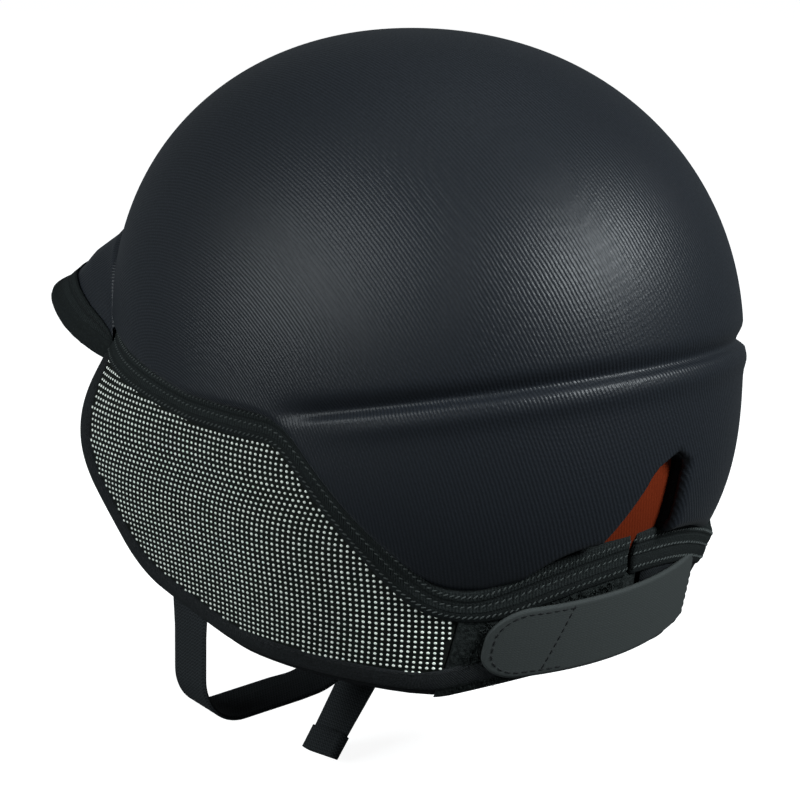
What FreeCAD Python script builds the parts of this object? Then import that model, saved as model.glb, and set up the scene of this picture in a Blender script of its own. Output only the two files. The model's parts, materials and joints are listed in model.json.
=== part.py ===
"""Soft water helmet: a fabric-covered foam shell with a short brim, mesh ear flaps, a hook-and-loop
fit tab at the nape and a webbing chin strap with a side-release buckle.

Frame: millimetres, origin at the centre of the head where the shell is widest, +Z up, front at -Y,
the wearer's left at +X. Every layer is built from two families of surfaces: the shell surface, and the
skirt surface that the ear flaps follow below the shell.
"""
import FreeCAD
import Part

import math
import os

V = FreeCAD.Vector

# ---- shell -------------------------------------------------------------------------------------
SHELL_HALF_WIDTH = 101.0     # at the widest level, outside
SHELL_HALF_LENGTH = 124.0
SHELL_RISE = 107.5           # widest level to crown
CROWN_POWER = 2.12           # 2 is an ellipse, more is boxier
TUCK_SHARE = 0.09            # how far the shell draws in at TUCK_DEPTH below the widest level
TUCK_DEPTH = 60.0
SHELL_FLOOR = -84.0          # the shell surface is made down to here and then trimmed
FLOOR_STEPS = 6              # points of its side curve below the widest level
CROWN_STEPS = 12             # and above it
COVER_THICK = 1.5
FOAM_THICK = 11.0
LINER_THICK = 3.0

# ---- pressed groove round the back ---------------------------------------------------------------
GROOVE_HEIGHT = -16.4        # of the groove's plane at Y = 0
GROOVE_RISE = 0.204          # the plane climbs this much per mm towards the back
GROOVE_HALF_WIDTH = 2.0
GROOVE_DEPTH = 1.0           # pressed into the cover
GROOVE_FRONT = 0.371         # it runs out this share of the half length behind the middle

# ---- lower edge of the shell, seen from the side: (share of the half length, Z), and each radius
RIM_LINE = [(-1.21, 10.0), (-0.532, -2.5), (-0.113, -9.5), (0.266, -10.5), (0.637, -71.5), (1.21, -26.5)]
RIM_CORNERS = [(share * SHELL_HALF_LENGTH, z) for share, z in RIM_LINE]
RIM_RADII = [0.0, 60.0, 80.0, 24.0, 12.0, 0.0]
RIM_TAPE_WIDTH = 11.0

# ---- slit at the back of the shell --------------------
SLIT_TOP_Z = -21.0
SLIT_TOP_RADIUS = 7.0
SLIT_HALF_WIDTH_LOW = 11.0   # at SLIT_LOW_Z, below the rim
SLIT_LOW_Z = -60.0

# ---- skirt: the surface that tape and flaps follow --------------------
# height, how far it lies inside the shell's size at the sides, behind and in front, front power
SKIRT_INSETS = [
    (14.0, 6.0, 6.0, 6.0, 2.0),
    (-12.0, 5.7, 7.0, 2.0, 2.5),
    (-35.0, 6.3, 11.0, -7.0, 3.6),
    (-70.0, 11.5, 17.0, -2.0, 3.6),
    (-114.0, 22.5, 27.0, 4.0, 3.6),
]
SKIRT_POINTS = 32            # round each level
TAPE_THICK = 2.0
MESH_THICK = 0.8
MESH_SUNK = 0.6              # the mesh and the nape panels lie this far inside the tape's outer face
PADDING_THICK = 4.0

# ---- ear flaps, seen from the side in the same way --------------------
FLAP_LINE = [(-0.726, 20.0), (-0.686, -52.0), (-0.468, -88.0), (-0.065, -104.0), (0.548, -108.0),
             (1.21, -78.0)]
FLAP_CORNERS = [(share * SHELL_HALF_LENGTH, z) for share, z in FLAP_LINE]
FLAP_RADII = [0.0, 36.0, 40.0, 60.0, 24.0, 0.0]
LINING_SHOWS = 4.0           # the padding reaches this much lower than the binding of the mesh
EDGE_BINDING_WIDTH = 4.0
FOLD_FRONT = (-0.726 * SHELL_HALF_LENGTH, -27.0)  # the flap's corner folds outward from here
FOLD_REAR = (0.177 * SHELL_HALF_LENGTH, -107.5)   # to here
FOLD_GAP = 0.4
NAPE_PANEL_X = 0.58 * SHELL_HALF_WIDTH            # a nape panel takes the mesh's place inside this
BACK_GAP = 1.5               # each side stops this far from the middle plane

# ---- brim --------------------
BRIM_HALF_ANGLE = 42.0       # degrees either side of the front
BRIM_REACH = 38.0            # beyond the shell at the front
BRIM_FALL_POWER = 3.0        # how late the reach falls away towards the ends
BRIM_TOP_Z = 31.0            # where its top meets the shell
BRIM_EDGE_Z = -1.0           # lower corner of its edge at the front
BRIM_END_DROP = 11.0         # and this much lower at its ends
BRIM_FLAT_X = 0.555 * SHELL_HALF_WIDTH  # its underside is level as far out as this
BRIM_END_X = 0.762 * SHELL_HALF_WIDTH
BRIM_STEPS = 8               # points of its edge on each side of the middle
BRIM_UNDER_RADIUS = 40.0
BRIM_EDGE_THICK = 5.0
BRIM_COVER_THICK = 1.5
BRIM_TAPE_WIDTH = 11.0
BRIM_TAPE_THICK = 1.0

# ---- fit tab --------------------
TAB_WIDTH = 26.0
TAB_FREE_X = 51.0            # its rounded free end
TAB_FOLD_X = -25.0           # it peels open about this line
TAB_SEWN_X = -37.0           # its sewn end
TAB_FOLD_GAP = 1.4           # room for it to fold back on itself
TAB_MIDDLE_Z = -82.5         # of its middle line at X = 0
TAB_DROP = 0.085             # the middle line falls this much per mm towards the free end
TAB_CORNER = 11.0
TAB_THICK = 1.6
TAB_GAP = 0.3                # to the tape and the panels below it
HOOK_THICK = 0.6
HOOK_LENGTH = 34.0
HOOK_MARGIN = 2.5

# ---- chin strap --------------------
STRAP_WIDTH = 20.0
STRAP_THICK = 1.8
STRAP_Y = -42.0
STRAP_ROOT_X = SHELL_HALF_WIDTH - TAPE_THICK - PADDING_THICK - 13.4  # in the foam
STRAP_ROOT_Z = 12.0
STRAP_RIM_Z = -12.0          # it leans inward from here ...
STRAP_HANG_X = STRAP_ROOT_X - 7.2  # ... to here
STRAP_HANG_Z = -94.0
STRAP_LOW_Z = -139.0
STRAP_SAG_RUN = 36.3         # the left half rises again this far before the clip
STRAP_SAG_RISE = 1.5
STRAP_LEVEL_RUN = 20.3       # and runs level with the buckle for this far
STRAP_BENDS = [0.0, 30.0, 60.0]          # radii at its root, under the rim and where it hangs straight
LEFT_BENDS = [10.0, 30.0, 16.0, 0.0]
RIGHT_BENDS = [6.0, 0.0]
ANCHOR_WIDTH = STRAP_WIDTH + 2.0
ANCHOR_HEIGHT = 15.0
ANCHOR_THICK = 1.2

# ---- buckle: its middle plane is at BUCKLE_Z, and it lies along X --------------------
BUCKLE_Z = -130.0
SOCKET_MOUTH_X = 40.4 - STRAP_HANG_X
SOCKET_LENGTH = 30.0
SOCKET_WIDTH = STRAP_WIDTH + 8.0
SOCKET_THICK = 9.0
SOCKET_ROUND = 2.7           # radius of its long edges
SOCKET_WALL = 1.5
SOCKET_DEPTH = 22.0
BUCKLE_FIT = 0.4             # clearance of the clip inside the socket
BAR_SIZE = 3.0               # a webbing bar is this square
WEB_SLOT = 2.6               # room for webbing beside a bar
CLIP_LENGTH = 22.0
CLIP_BASE = 10.0             # solid part of the clip next to the socket
TONGUE_LENGTH = 18.0
TONGUE_HALF_WIDTH = 2.0
PRONG_LENGTH = 17.0
PRONG_INNER_Y = SOCKET_WIDTH / 2 - 7.4
PRONG_NECK = 3.36            # depth of the arm behind its head
PRONG_ARM = 2.4
PRONG_HEAD = 9.0
TAIL_DROOP = (24.0, -28.0)   # how the tail runs from the clip to its end, in X and Z
TAIL_BENDS = [0.0, 2.0, 2.0, 8.0, 0.0]
TAIL_IN = 1.0                # it starts this far from the socket's mouth
STOP_LENGTH = 9.0
STOP_OVER = 1.0              # the folded end passes the tail's own end by this much, and its sides in all
STOP_THICK = 4.8
WEB_CLEAR = 0.3              # webbing to the clip's bar and rails

FAR = 400.0
PAST = 1.0                   # a body that cuts another reaches this far past its face


# ---- flat outlines --------------------
def shifted(corners, distance):
    """The same corners moved sideways, to the right of the way they run."""
    lines = []
    for (ax, ay), (bx, by) in zip(corners, corners[1:]):
        length = math.hypot(bx - ax, by - ay)
        nx, ny = (by - ay) / length, -(bx - ax) / length
        lines.append(((ax + nx * distance, ay + ny * distance), (bx - ax, by - ay)))
    moved = [lines[0][0]]
    for (p, d), (q, e) in zip(lines, lines[1:]):
        cross = d[0] * e[1] - d[1] * e[0]
        t = ((q[0] - p[0]) * e[1] - (q[1] - p[1]) * e[0]) / cross
        moved.append((p[0] + d[0] * t, p[1] + d[1] * t))
    (p, d) = lines[-1]
    moved.append((p[0] + d[0], p[1] + d[1]))
    return moved


def shifted_radii(corners, radii, distance):
    """Corner radii after the same move: smaller inside a bend, larger outside it."""
    moved = [0.0]
    for a, b, c, r in zip(corners, corners[1:], corners[2:], radii[1:]):
        turn = (b[0] - a[0]) * (c[1] - b[1]) - (b[1] - a[1]) * (c[0] - b[0])
        moved.append(max(r + (distance if turn > 0 else -distance), 0.5) if r else 0.0)
    return moved + [0.0]


def rounded(corners, radii, place):
    """Straight and arc edges through the corners. place turns a flat point into a vector."""
    edges, start = [], corners[0]
    for a, b, c, r in zip(corners, corners[1:], corners[2:], radii[1:]):
        if not r:
            edges.append(Part.LineSegment(place(*start), place(*b)).toShape())
            start = b
            continue
        la, lc = math.dist(a, b), math.dist(b, c)
        u = ((a[0] - b[0]) / la, (a[1] - b[1]) / la)
        w = ((c[0] - b[0]) / lc, (c[1] - b[1]) / lc)
        half = math.acos(max(-1.0, min(1.0, u[0] * w[0] + u[1] * w[1]))) / 2
        back = r / math.tan(half)
        p = (b[0] + u[0] * back, b[1] + u[1] * back)
        q = (b[0] + w[0] * back, b[1] + w[1] * back)
        m = ((u[0] + w[0]), (u[1] + w[1]))
        lm = math.hypot(*m)
        deep = r / math.sin(half) - r
        mid = (b[0] + m[0] / lm * deep, b[1] + m[1] / lm * deep)
        edges.append(Part.LineSegment(place(*start), place(*p)).toShape())
        edges.append(Part.Arc(place(*p), place(*mid), place(*q)).toShape())
        start = q
    edges.append(Part.LineSegment(place(*start), place(*corners[-1])).toShape())
    return edges


def in_side_plane(y, z):
    return V(0, y, z)


def side_prism(corners, radii, close, x0, x1):
    """A flat side view (Y, Z), closed through the points in close, stretched from x0 to x1."""
    edges = rounded(corners, radii, in_side_plane)
    loop = [corners[-1]] + close + [corners[0]]
    for p, q in zip(loop, loop[1:]):
        edges.append(Part.LineSegment(in_side_plane(*p), in_side_plane(*q)).toShape())
    face = Part.Face(Part.Wire(Part.__sortEdges__(edges)))
    face.translate(V(x0, 0, 0))
    return face.extrude(V(x1 - x0, 0, 0))


def below(corners, radii, distance=0.0):
    """Everything under, or in front of, a side line that has been moved outward by distance."""
    line = shifted(corners, distance)
    z0, z1 = line[0][1], line[-1][1]
    close = [(FAR, z1), (FAR, -FAR), (-FAR, -FAR), (-FAR, z0)]
    return side_prism(line, shifted_radii(corners, radii, distance), close, -FAR, FAR)


def strip(corners, radii, thick, y_mid, width):
    """Webbing: a line in the XZ plane given thickness, and stretched along Y."""
    def place(x, z):
        return V(x, y_mid - width / 2, z)
    right, left = shifted(corners, thick / 2), shifted(corners, -thick / 2)
    edges = rounded(right, shifted_radii(corners, radii, thick / 2), place)
    edges += rounded(left, shifted_radii(corners, radii, -thick / 2), place)
    for p, q in ((right[0], left[0]), (right[-1], left[-1])):
        edges.append(Part.LineSegment(place(*p), place(*q)).toShape())
    face = Part.Face(Part.Wire(Part.__sortEdges__(edges)))
    return face.extrude(V(0, width, 0))


def box(x0, x1, y0, y1, z0, z1):
    return Part.makeBox(x1 - x0, y1 - y0, z1 - z0, V(x0, y0, z0))


# ---- the two families of surfaces --------------------
def shell_share(z, rise):
    """Half width at height z, as a share of the widest."""
    if z < 0:
        return 1 - TUCK_SHARE * (-z / TUCK_DEPTH) ** 3
    return max(1 - (z / rise) ** CROWN_POWER, 0.0) ** (1 / CROWN_POWER)


def shell_solid(inset):
    """The filled shell, with its outside moved in by inset."""
    half_width, half_length, rise = SHELL_HALF_WIDTH - inset, SHELL_HALF_LENGTH - inset, SHELL_RISE - inset
    low = [SHELL_FLOOR * (1 - k / FLOOR_STEPS) for k in range(FLOOR_STEPS)]
    points = [V(half_width * shell_share(z, rise), 0, z) for z in low]
    for k in range(CROWN_STEPS + 1):
        turn = math.pi / 2 * k / CROWN_STEPS
        r = half_width * math.cos(turn) ** (2 / CROWN_POWER) if k < CROWN_STEPS else 0.0
        points.append(V(r, 0, rise * math.sin(turn) ** (2 / CROWN_POWER)))
    curve = Part.BSplineCurve()
    curve.interpolate(points)
    base, top = points[0], points[-1]
    edges = [
        curve.toShape(),
        Part.LineSegment(top, V(0, 0, base.z)).toShape(),
        Part.LineSegment(V(0, 0, base.z), base).toShape(),
    ]
    round_solid = Part.Face(Part.Wire(edges)).revolve(V(0, 0, 0), V(0, 0, 1), 360)
    stretch = FreeCAD.Matrix()
    stretch.A22 = half_length / half_width
    return Part.Solid(round_solid.transformGeometry(stretch))


def skirt_solid(inset):
    """The filled skirt, with its outside moved in by inset."""
    wires = []
    for z, sides, behind, front, power in SKIRT_INSETS:
        points = []
        for k in range(SKIRT_POINTS):
            turn = 2 * math.pi * k / SKIRT_POINTS
            c, s = math.cos(turn), math.sin(turn)
            n = 2.0 if s >= 0 else power
            end = behind if s >= 0 else front
            x = (SHELL_HALF_WIDTH - sides - inset) * math.copysign(abs(c) ** (2 / n), c)
            y = (SHELL_HALF_LENGTH - end - inset) * math.copysign(abs(s) ** (2 / n), s)
            points.append(V(x, y, z))
        curve = Part.BSplineCurve()
        curve.interpolate(points, PeriodicFlag=True)
        wires.append(Part.Wire(curve.toShape()))
    return Part.makeLoft(wires, True, False)


def band(outer, inner, family):
    """The layer of a family of surfaces between two insets."""
    return family(outer).cut(family(inner))


def half_space(sign, gap=0.0):
    """Everything on the left (1) or the right (-1) of the middle plane, from gap outward."""
    return box(gap, FAR, -FAR, FAR, -FAR, FAR) if sign > 0 else box(-FAR, -gap, -FAR, FAR, -FAR, FAR)


def mirrored(shape):
    """The same piece on the other side of the helmet."""
    return shape.mirror(V(0, 0, 0), V(1, 0, 0))


# ---- shell layers --------------------
def groove_ring():
    """The ring that the groove takes out of the cover, tilted up towards the back."""
    slab = Part.makeBox(2 * FAR, FAR, 2 * GROOVE_HALF_WIDTH, V(-FAR, 0, -GROOVE_HALF_WIDTH))
    slab.rotate(V(0, 0, 0), V(1, 0, 0), math.degrees(math.atan(GROOVE_RISE)))
    slab.translate(V(0, 0, GROOVE_HEIGHT))
    ahead = box(-FAR, FAR, -FAR, GROOVE_FRONT * SHELL_HALF_LENGTH, -FAR, FAR)
    return slab.cut(ahead).cut(shell_solid(GROOVE_DEPTH))


def slit():
    """The slit at the back: straight sides that widen downward from a round top."""
    centre_z = SLIT_TOP_Z - SLIT_TOP_RADIUS
    run = math.hypot(SLIT_HALF_WIDTH_LOW, SLIT_LOW_Z - centre_z)
    lean = math.atan2(SLIT_HALF_WIDTH_LOW, centre_z - SLIT_LOW_Z) - math.asin(SLIT_TOP_RADIUS / run)
    x = SLIT_TOP_RADIUS * math.cos(lean)
    z = centre_z + SLIT_TOP_RADIUS * math.sin(lean)
    low_left, low_right = V(SLIT_HALF_WIDTH_LOW, 0, SLIT_LOW_Z), V(-SLIT_HALF_WIDTH_LOW, 0, SLIT_LOW_Z)
    left, right, top = V(x, 0, z), V(-x, 0, z), V(0, 0, SLIT_TOP_Z)
    wire = Part.Wire([
        Part.LineSegment(low_left, left).toShape(),
        Part.Arc(left, top, right).toShape(),
        Part.LineSegment(right, low_right).toShape(),
        Part.LineSegment(low_right, low_left).toShape(),
    ])
    return Part.Face(wire).extrude(V(0, FAR, 0))


def shell_layers():
    under, opening = below(RIM_CORNERS, RIM_RADII), slit()
    slots = anchor_slot(1).fuse(anchor_slot(-1))
    foam_in = COVER_THICK + FOAM_THICK
    liner_in = foam_in + LINER_THICK
    cover = band(0, COVER_THICK, shell_solid).cut(under).cut(opening)
    foam = band(COVER_THICK, foam_in, shell_solid).cut(under).cut(opening)
    liner = band(foam_in, liner_in, shell_solid).cut(under).cut(opening)
    return {
        "outer_cover": cover.cut(groove_ring()),
        "foam_shell": foam.cut(slots),
        "inner_liner": liner.cut(slots),
    }


# ---- brim --------------------
def brim_plan(pull_in):
    """The space over the brim's plan view, with its edge pulled in."""
    points = []
    for k in range(-BRIM_STEPS, BRIM_STEPS + 1):
        share = k / BRIM_STEPS
        turn = math.radians(BRIM_HALF_ANGLE * share)
        s, c = math.sin(turn), math.cos(turn)
        shell = 1 / math.hypot(s / SHELL_HALF_WIDTH, c / SHELL_HALF_LENGTH)
        edge = shell + BRIM_REACH * (1 - abs(share) ** BRIM_FALL_POWER) - pull_in
        points.append(V(edge * s, -edge * c, 0))
    curve = Part.BSplineCurve()
    curve.interpolate(points)
    middle = V(0, 0, 0)
    edges = [
        curve.toShape(),
        Part.LineSegment(points[-1], middle).toShape(),
        Part.LineSegment(middle, points[0]).toShape(),
    ]
    face = Part.Face(Part.Wire(edges))
    face.translate(V(0, 0, -FAR / 4))
    return face.extrude(V(0, 0, FAR / 2))


def brim_under_top(grow):
    """The space under the brim's sloping top, which is a cone as oval as the shell."""
    to_edge = BRIM_REACH * SHELL_HALF_WIDTH / SHELL_HALF_LENGTH
    fall = (BRIM_TOP_Z - BRIM_EDGE_Z - BRIM_EDGE_THICK) / to_edge
    foot = BRIM_EDGE_Z - BRIM_REACH
    tip = BRIM_TOP_Z + fall * SHELL_HALF_WIDTH + grow
    cone = Part.makeCone((tip - foot) / fall, 0, tip - foot, V(0, 0, foot))
    stretch = FreeCAD.Matrix()
    stretch.A22 = SHELL_HALF_LENGTH / SHELL_HALF_WIDTH
    return Part.Solid(cone.transformGeometry(stretch))


def brim_over(lift):
    """The space over the brim's underside, which falls away towards its ends."""
    corners = [(-FAR, BRIM_EDGE_Z - 2 * BRIM_END_DROP), (-BRIM_END_X, BRIM_EDGE_Z - BRIM_END_DROP),
               (-BRIM_FLAT_X, BRIM_EDGE_Z), (BRIM_FLAT_X, BRIM_EDGE_Z),
               (BRIM_END_X, BRIM_EDGE_Z - BRIM_END_DROP), (FAR, BRIM_EDGE_Z - 2 * BRIM_END_DROP)]
    radii = [0.0, 0.0, BRIM_UNDER_RADIUS, BRIM_UNDER_RADIUS, 0.0, 0.0]

    def place(x, z):
        return V(x, -FAR, z + lift)
    edges = rounded(corners, radii, place)
    edges.append(Part.LineSegment(place(*corners[-1]), place(FAR, FAR)).toShape())
    edges.append(Part.LineSegment(place(FAR, FAR), place(-FAR, FAR)).toShape())
    edges.append(Part.LineSegment(place(-FAR, FAR), place(*corners[0])).toShape())
    return Part.Face(Part.Wire(edges)).extrude(V(0, 2 * FAR, 0))


def brim_skin(grow):
    """The whole brim, with its surface moved out by grow."""
    return brim_plan(-grow).common(brim_under_top(grow)).common(brim_over(-grow))


def brim_pieces():
    inside = shell_solid(0).fuse(skirt_solid(0))
    whole, core = brim_skin(0), brim_skin(-BRIM_COVER_THICK)
    skin = whole.cut(core).cut(inside)
    above = brim_over(BRIM_EDGE_THICK / 2)
    return {
        "brim_core": core.cut(inside),
        "brim_cover": skin.common(above),
        "brim_lining": skin.cut(above),
        "brim_binding": brim_skin(BRIM_TAPE_THICK).cut(whole).cut(brim_plan(BRIM_TAPE_WIDTH)).cut(inside),
    }


# ---- skirt: bindings, mesh flaps and nape panels --------------------
def fold_side(gap):
    """The side of the fold line that moves, with its boundary moved towards it by gap."""
    (y0, z0), (y1, z1) = FOLD_FRONT, FOLD_REAR
    run = ((y1 - y0), (z1 - z0))
    line = [(y0 - 3 * run[0], z0 - 3 * run[1]), (y1 + 3 * run[0], z1 + 3 * run[1])]
    line = shifted(line, gap)
    return side_prism(line, [0.0, 0.0], [(-2 * FAR, -2 * FAR)], -FAR, FAR)


def skirt_pieces():
    """The left side's pieces and the front binding, which crosses the middle."""
    low = SKIRT_INSETS[-1][0]
    under_rim = below(RIM_CORNERS, RIM_RADII)
    under_tape = below(RIM_CORNERS, RIM_RADII, RIM_TAPE_WIDTH)
    off_flap = below(FLAP_CORNERS, FLAP_RADII)
    bound = [(y, z + LINING_SHOWS) for y, z in FLAP_CORNERS]
    off_binding = below(bound, FLAP_RADII)
    off_mesh = below(bound, FLAP_RADII, -EDGE_BINDING_WIDTH)
    left = half_space(1, BACK_GAP)
    nape_side = box(BACK_GAP, NAPE_PANEL_X, 0, FAR, low, FAR)
    mesh_side = half_space(1).cut(box(0, NAPE_PANEL_X, 0, FAR, -FAR, FAR))
    tape = band(0, TAPE_THICK, skirt_solid).common(under_rim).cut(under_tape)
    web = band(MESH_SUNK, MESH_SUNK + MESH_THICK, skirt_solid).common(under_tape).cut(off_mesh)
    panel = band(MESH_SUNK, TAPE_THICK, skirt_solid).common(under_tape).cut(off_flap)
    edging = band(0, TAPE_THICK, skirt_solid).common(under_tape).common(off_mesh).cut(off_binding)
    padding = band(TAPE_THICK, TAPE_THICK + PADDING_THICK, skirt_solid).common(under_rim).cut(off_flap)
    moving, staying = fold_side(FOLD_GAP / 2), fold_side(-FOLD_GAP / 2)
    ear = {
        "ear_mesh": web.common(mesh_side),
        "flap_binding": edging.common(mesh_side),
        "ear_padding": padding.common(left),
    }
    pieces = {
        "front_binding": tape.common(off_flap).cut(box(-FAR, FAR, 0, FAR, -FAR, FAR)),
        "left_rim_binding": tape.cut(off_flap).common(left),
        "left_loop_panel": panel.common(nape_side),
    }
    for name, piece in ear.items():
        pieces["left_" + name] = piece.cut(staying)
        pieces["left_" + name.replace("ear_", "corner_").replace("flap_", "corner_")] = piece.common(moving)
    return pieces


# ---- fit tab --------------------
def tab_outline(margin=0.0):
    """The tab's outline seen from behind, moved in by margin, as a prism over the nape."""
    half = TAB_WIDTH / 2 - margin

    def place(x, z):
        return V(x, 0, TAB_MIDDLE_Z - TAB_DROP * x + z)
    sewn, free = TAB_SEWN_X + margin, TAB_FREE_X - margin
    corners = [(sewn, 0), (sewn, half), (free, half), (free, -half), (sewn, -half), (sewn, 0)]
    radii = [0.0, 0.0, TAB_CORNER - margin, TAB_CORNER - margin, 0.0, 0.0]
    edges = rounded(corners, radii, place)
    return Part.Face(Part.Wire(edges)).extrude(V(0, FAR, 0))


def tab_pieces():
    outline = tab_outline()
    strip_of_tab = band(-TAB_GAP - TAB_THICK, -TAB_GAP, skirt_solid).common(outline)
    free_side = half_space(1, TAB_FOLD_X + TAB_FOLD_GAP / 2)
    hook_side = half_space(1, TAB_FREE_X - HOOK_LENGTH)
    hook = band(-TAB_GAP, HOOK_THICK - TAB_GAP, skirt_solid).common(tab_outline(HOOK_MARGIN))
    return {
        "fit_tab": strip_of_tab.common(free_side),
        "fit_tab_root": strip_of_tab.common(half_space(-1, -TAB_FOLD_X + TAB_FOLD_GAP / 2)),
        "fit_tab_hook": hook.common(hook_side),
    }


# ---- chin strap --------------------
def anchor_slot(sign):
    """The pocket in the foam and liner that holds the strap's end and its anchor plate."""
    x0 = STRAP_ROOT_X - STRAP_THICK / 2
    x1 = STRAP_ROOT_X + STRAP_THICK / 2 + ANCHOR_THICK
    half = ANCHOR_WIDTH / 2
    pocket = box(x0, x1, STRAP_Y - half, STRAP_Y + half, STRAP_RIM_Z, STRAP_ROOT_Z)
    return pocket if sign > 0 else mirrored(pocket)


def anchor():
    x0 = STRAP_ROOT_X + STRAP_THICK / 2
    half = ANCHOR_WIDTH / 2
    low = STRAP_ROOT_Z - ANCHOR_HEIGHT
    return box(x0, x0 + ANCHOR_THICK, STRAP_Y - half, STRAP_Y + half, low, STRAP_ROOT_Z)


def web_strip(corners, radii):
    return strip(corners, radii, STRAP_THICK, STRAP_Y, STRAP_WIDTH)


def web_loop(bar, clear):
    """Webbing sewn round a bar, with the bar's own space and its clearance left free."""
    x0, x1 = bar
    reach = STRAP_THICK + clear
    half_web, half_bar = STRAP_WIDTH / 2, BAR_SIZE / 2
    out = box(x0 - reach, x1 + reach, STRAP_Y - half_web, STRAP_Y + half_web,
              BUCKLE_Z - half_bar - reach, BUCKLE_Z + half_bar + reach)
    return out.cut(box(x0 - clear, x1 + clear, STRAP_Y - FAR, STRAP_Y + FAR,
                       BUCKLE_Z - half_bar - clear, BUCKLE_Z + half_bar + clear))


def strap_pieces():
    down = [(STRAP_ROOT_X, STRAP_ROOT_Z), (STRAP_ROOT_X, STRAP_RIM_Z), (STRAP_HANG_X, STRAP_HANG_Z)]
    clip_end = clip_bar()[1] + STRAP_THICK + WEB_CLEAR
    long_run = down + [
        (STRAP_HANG_X, STRAP_LOW_Z),
        (clip_end + STRAP_SAG_RUN, STRAP_LOW_Z + STRAP_SAG_RISE),
        (clip_end + STRAP_LEVEL_RUN, BUCKLE_Z),
        (clip_end, BUCKLE_Z),
    ]
    socket_end = STRAP_THICK - socket_bar()[0]
    short_run = down + [(STRAP_HANG_X, BUCKLE_Z), (socket_end, BUCKLE_Z)]
    left = web_strip(long_run, STRAP_BENDS + LEFT_BENDS)
    right = mirrored(web_strip(short_run, STRAP_BENDS + RIGHT_BENDS))
    held_z = BUCKLE_Z - CLIP_HALF_THICK - STRAP_THICK / 2
    clear_z = BUCKLE_Z - BAR_SIZE / 2 - 1.5 * STRAP_THICK - 2 * WEB_CLEAR
    x0 = SOCKET_MOUTH_X + TAIL_IN
    x1 = clip_bar()[0] - WEB_SLOT - STRAP_THICK
    x2 = clip_bar()[1] + STRAP_THICK
    end = (x2 + TAIL_DROOP[0], clear_z + TAIL_DROOP[1])
    route = [(x0, held_z), (x1 - STRAP_THICK, held_z), (x1, clear_z), (x2, clear_z), end]
    tail = web_strip(route, TAIL_BENDS)
    length = math.hypot(*TAIL_DROOP)
    ux, uz = TAIL_DROOP[0] / length, TAIL_DROOP[1] / length
    fold = [
        (end[0] - ux * STOP_LENGTH, end[1] - uz * STOP_LENGTH),
        (end[0] + ux * STOP_OVER, end[1] + uz * STOP_OVER),
    ]
    stop = strip(fold, [0.0, 0.0], STOP_THICK, STRAP_Y, STRAP_WIDTH + STOP_OVER).cut(tail)
    return {
        "chin_strap_left": left.fuse(web_loop(clip_bar(), WEB_CLEAR)),
        "chin_strap_right": right.fuse(web_loop(socket_bar(), 0.0)),
        "left_strap_anchor": anchor(),
        "right_strap_anchor": mirrored(anchor()),
        "strap_tail": tail,
        "strap_end_stop": stop,
    }


# ---- buckle --------------------
CLIP_HALF_THICK = SOCKET_THICK / 2 - SOCKET_WALL - BUCKLE_FIT


def socket_bar():
    x0 = SOCKET_MOUTH_X - SOCKET_LENGTH
    return x0, x0 + BAR_SIZE


def clip_bar():
    """The bar lies in the middle of the clip's frame, with a slot on each side."""
    x0 = SOCKET_MOUTH_X + CLIP_BASE + WEB_SLOT
    return x0, x0 + BAR_SIZE


def across(x0, x1, y0, y1, half_z):
    """A block whose Y is measured from the buckle's middle."""
    return box(x0, x1, STRAP_Y + y0, STRAP_Y + y1, BUCKLE_Z - half_z, BUCKLE_Z + half_z)


def socket():
    back = SOCKET_MOUTH_X - SOCKET_LENGTH
    half, half_z = SOCKET_WIDTH / 2, SOCKET_THICK / 2
    deep = SOCKET_MOUTH_X - SOCKET_DEPTH
    body = across(back, SOCKET_MOUTH_X, -half, half, half_z)
    long_edges = [e for e in body.Edges if abs(e.BoundBox.XLength - SOCKET_LENGTH) < 0.01]
    body = body.makeFillet(SOCKET_ROUND, long_edges)
    wall = half - SOCKET_WALL
    hollow = across(deep, SOCKET_MOUTH_X + PAST, -wall, wall, half_z - SOCKET_WALL)
    head0, head1 = head_span()
    window = across(head0 - BUCKLE_FIT, head1 + BUCKLE_FIT, -half - PAST, half + PAST, half_z - SOCKET_WALL)
    bar0, bar1 = socket_bar()
    inside = STRAP_WIDTH / 2 + WEB_CLEAR
    slot = across(bar0 - PAST, bar1 + WEB_SLOT, -inside, inside, half_z + PAST)
    bar = across(bar0, bar1, -wall, wall, BAR_SIZE / 2)
    return body.cut(hollow).cut(window).cut(slot).fuse(bar).removeSplitter()


def head_span():
    """Where the prongs' heads lie along X."""
    x0 = SOCKET_MOUTH_X - PRONG_LENGTH
    return x0, x0 + PRONG_HEAD


def clip():
    inner = SOCKET_WIDTH / 2 - SOCKET_WALL - BUCKLE_FIT
    end = SOCKET_MOUTH_X + CLIP_LENGTH
    frame = across(SOCKET_MOUTH_X, end, -inner, inner, CLIP_HALF_THICK)
    bar0, bar1 = clip_bar()
    inside = STRAP_WIDTH / 2 + WEB_CLEAR
    slots = across(bar0 - WEB_SLOT, end + PAST, -inside, inside, CLIP_HALF_THICK + PAST)
    bar = across(bar0, bar1, -inner, inner, BAR_SIZE / 2)
    tongue = across(SOCKET_MOUTH_X - TONGUE_LENGTH, SOCKET_MOUTH_X + PAST, -TONGUE_HALF_WIDTH,
                    TONGUE_HALF_WIDTH, CLIP_HALF_THICK)
    return frame.cut(slots).fuse(bar).fuse(tongue).removeSplitter()


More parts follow.
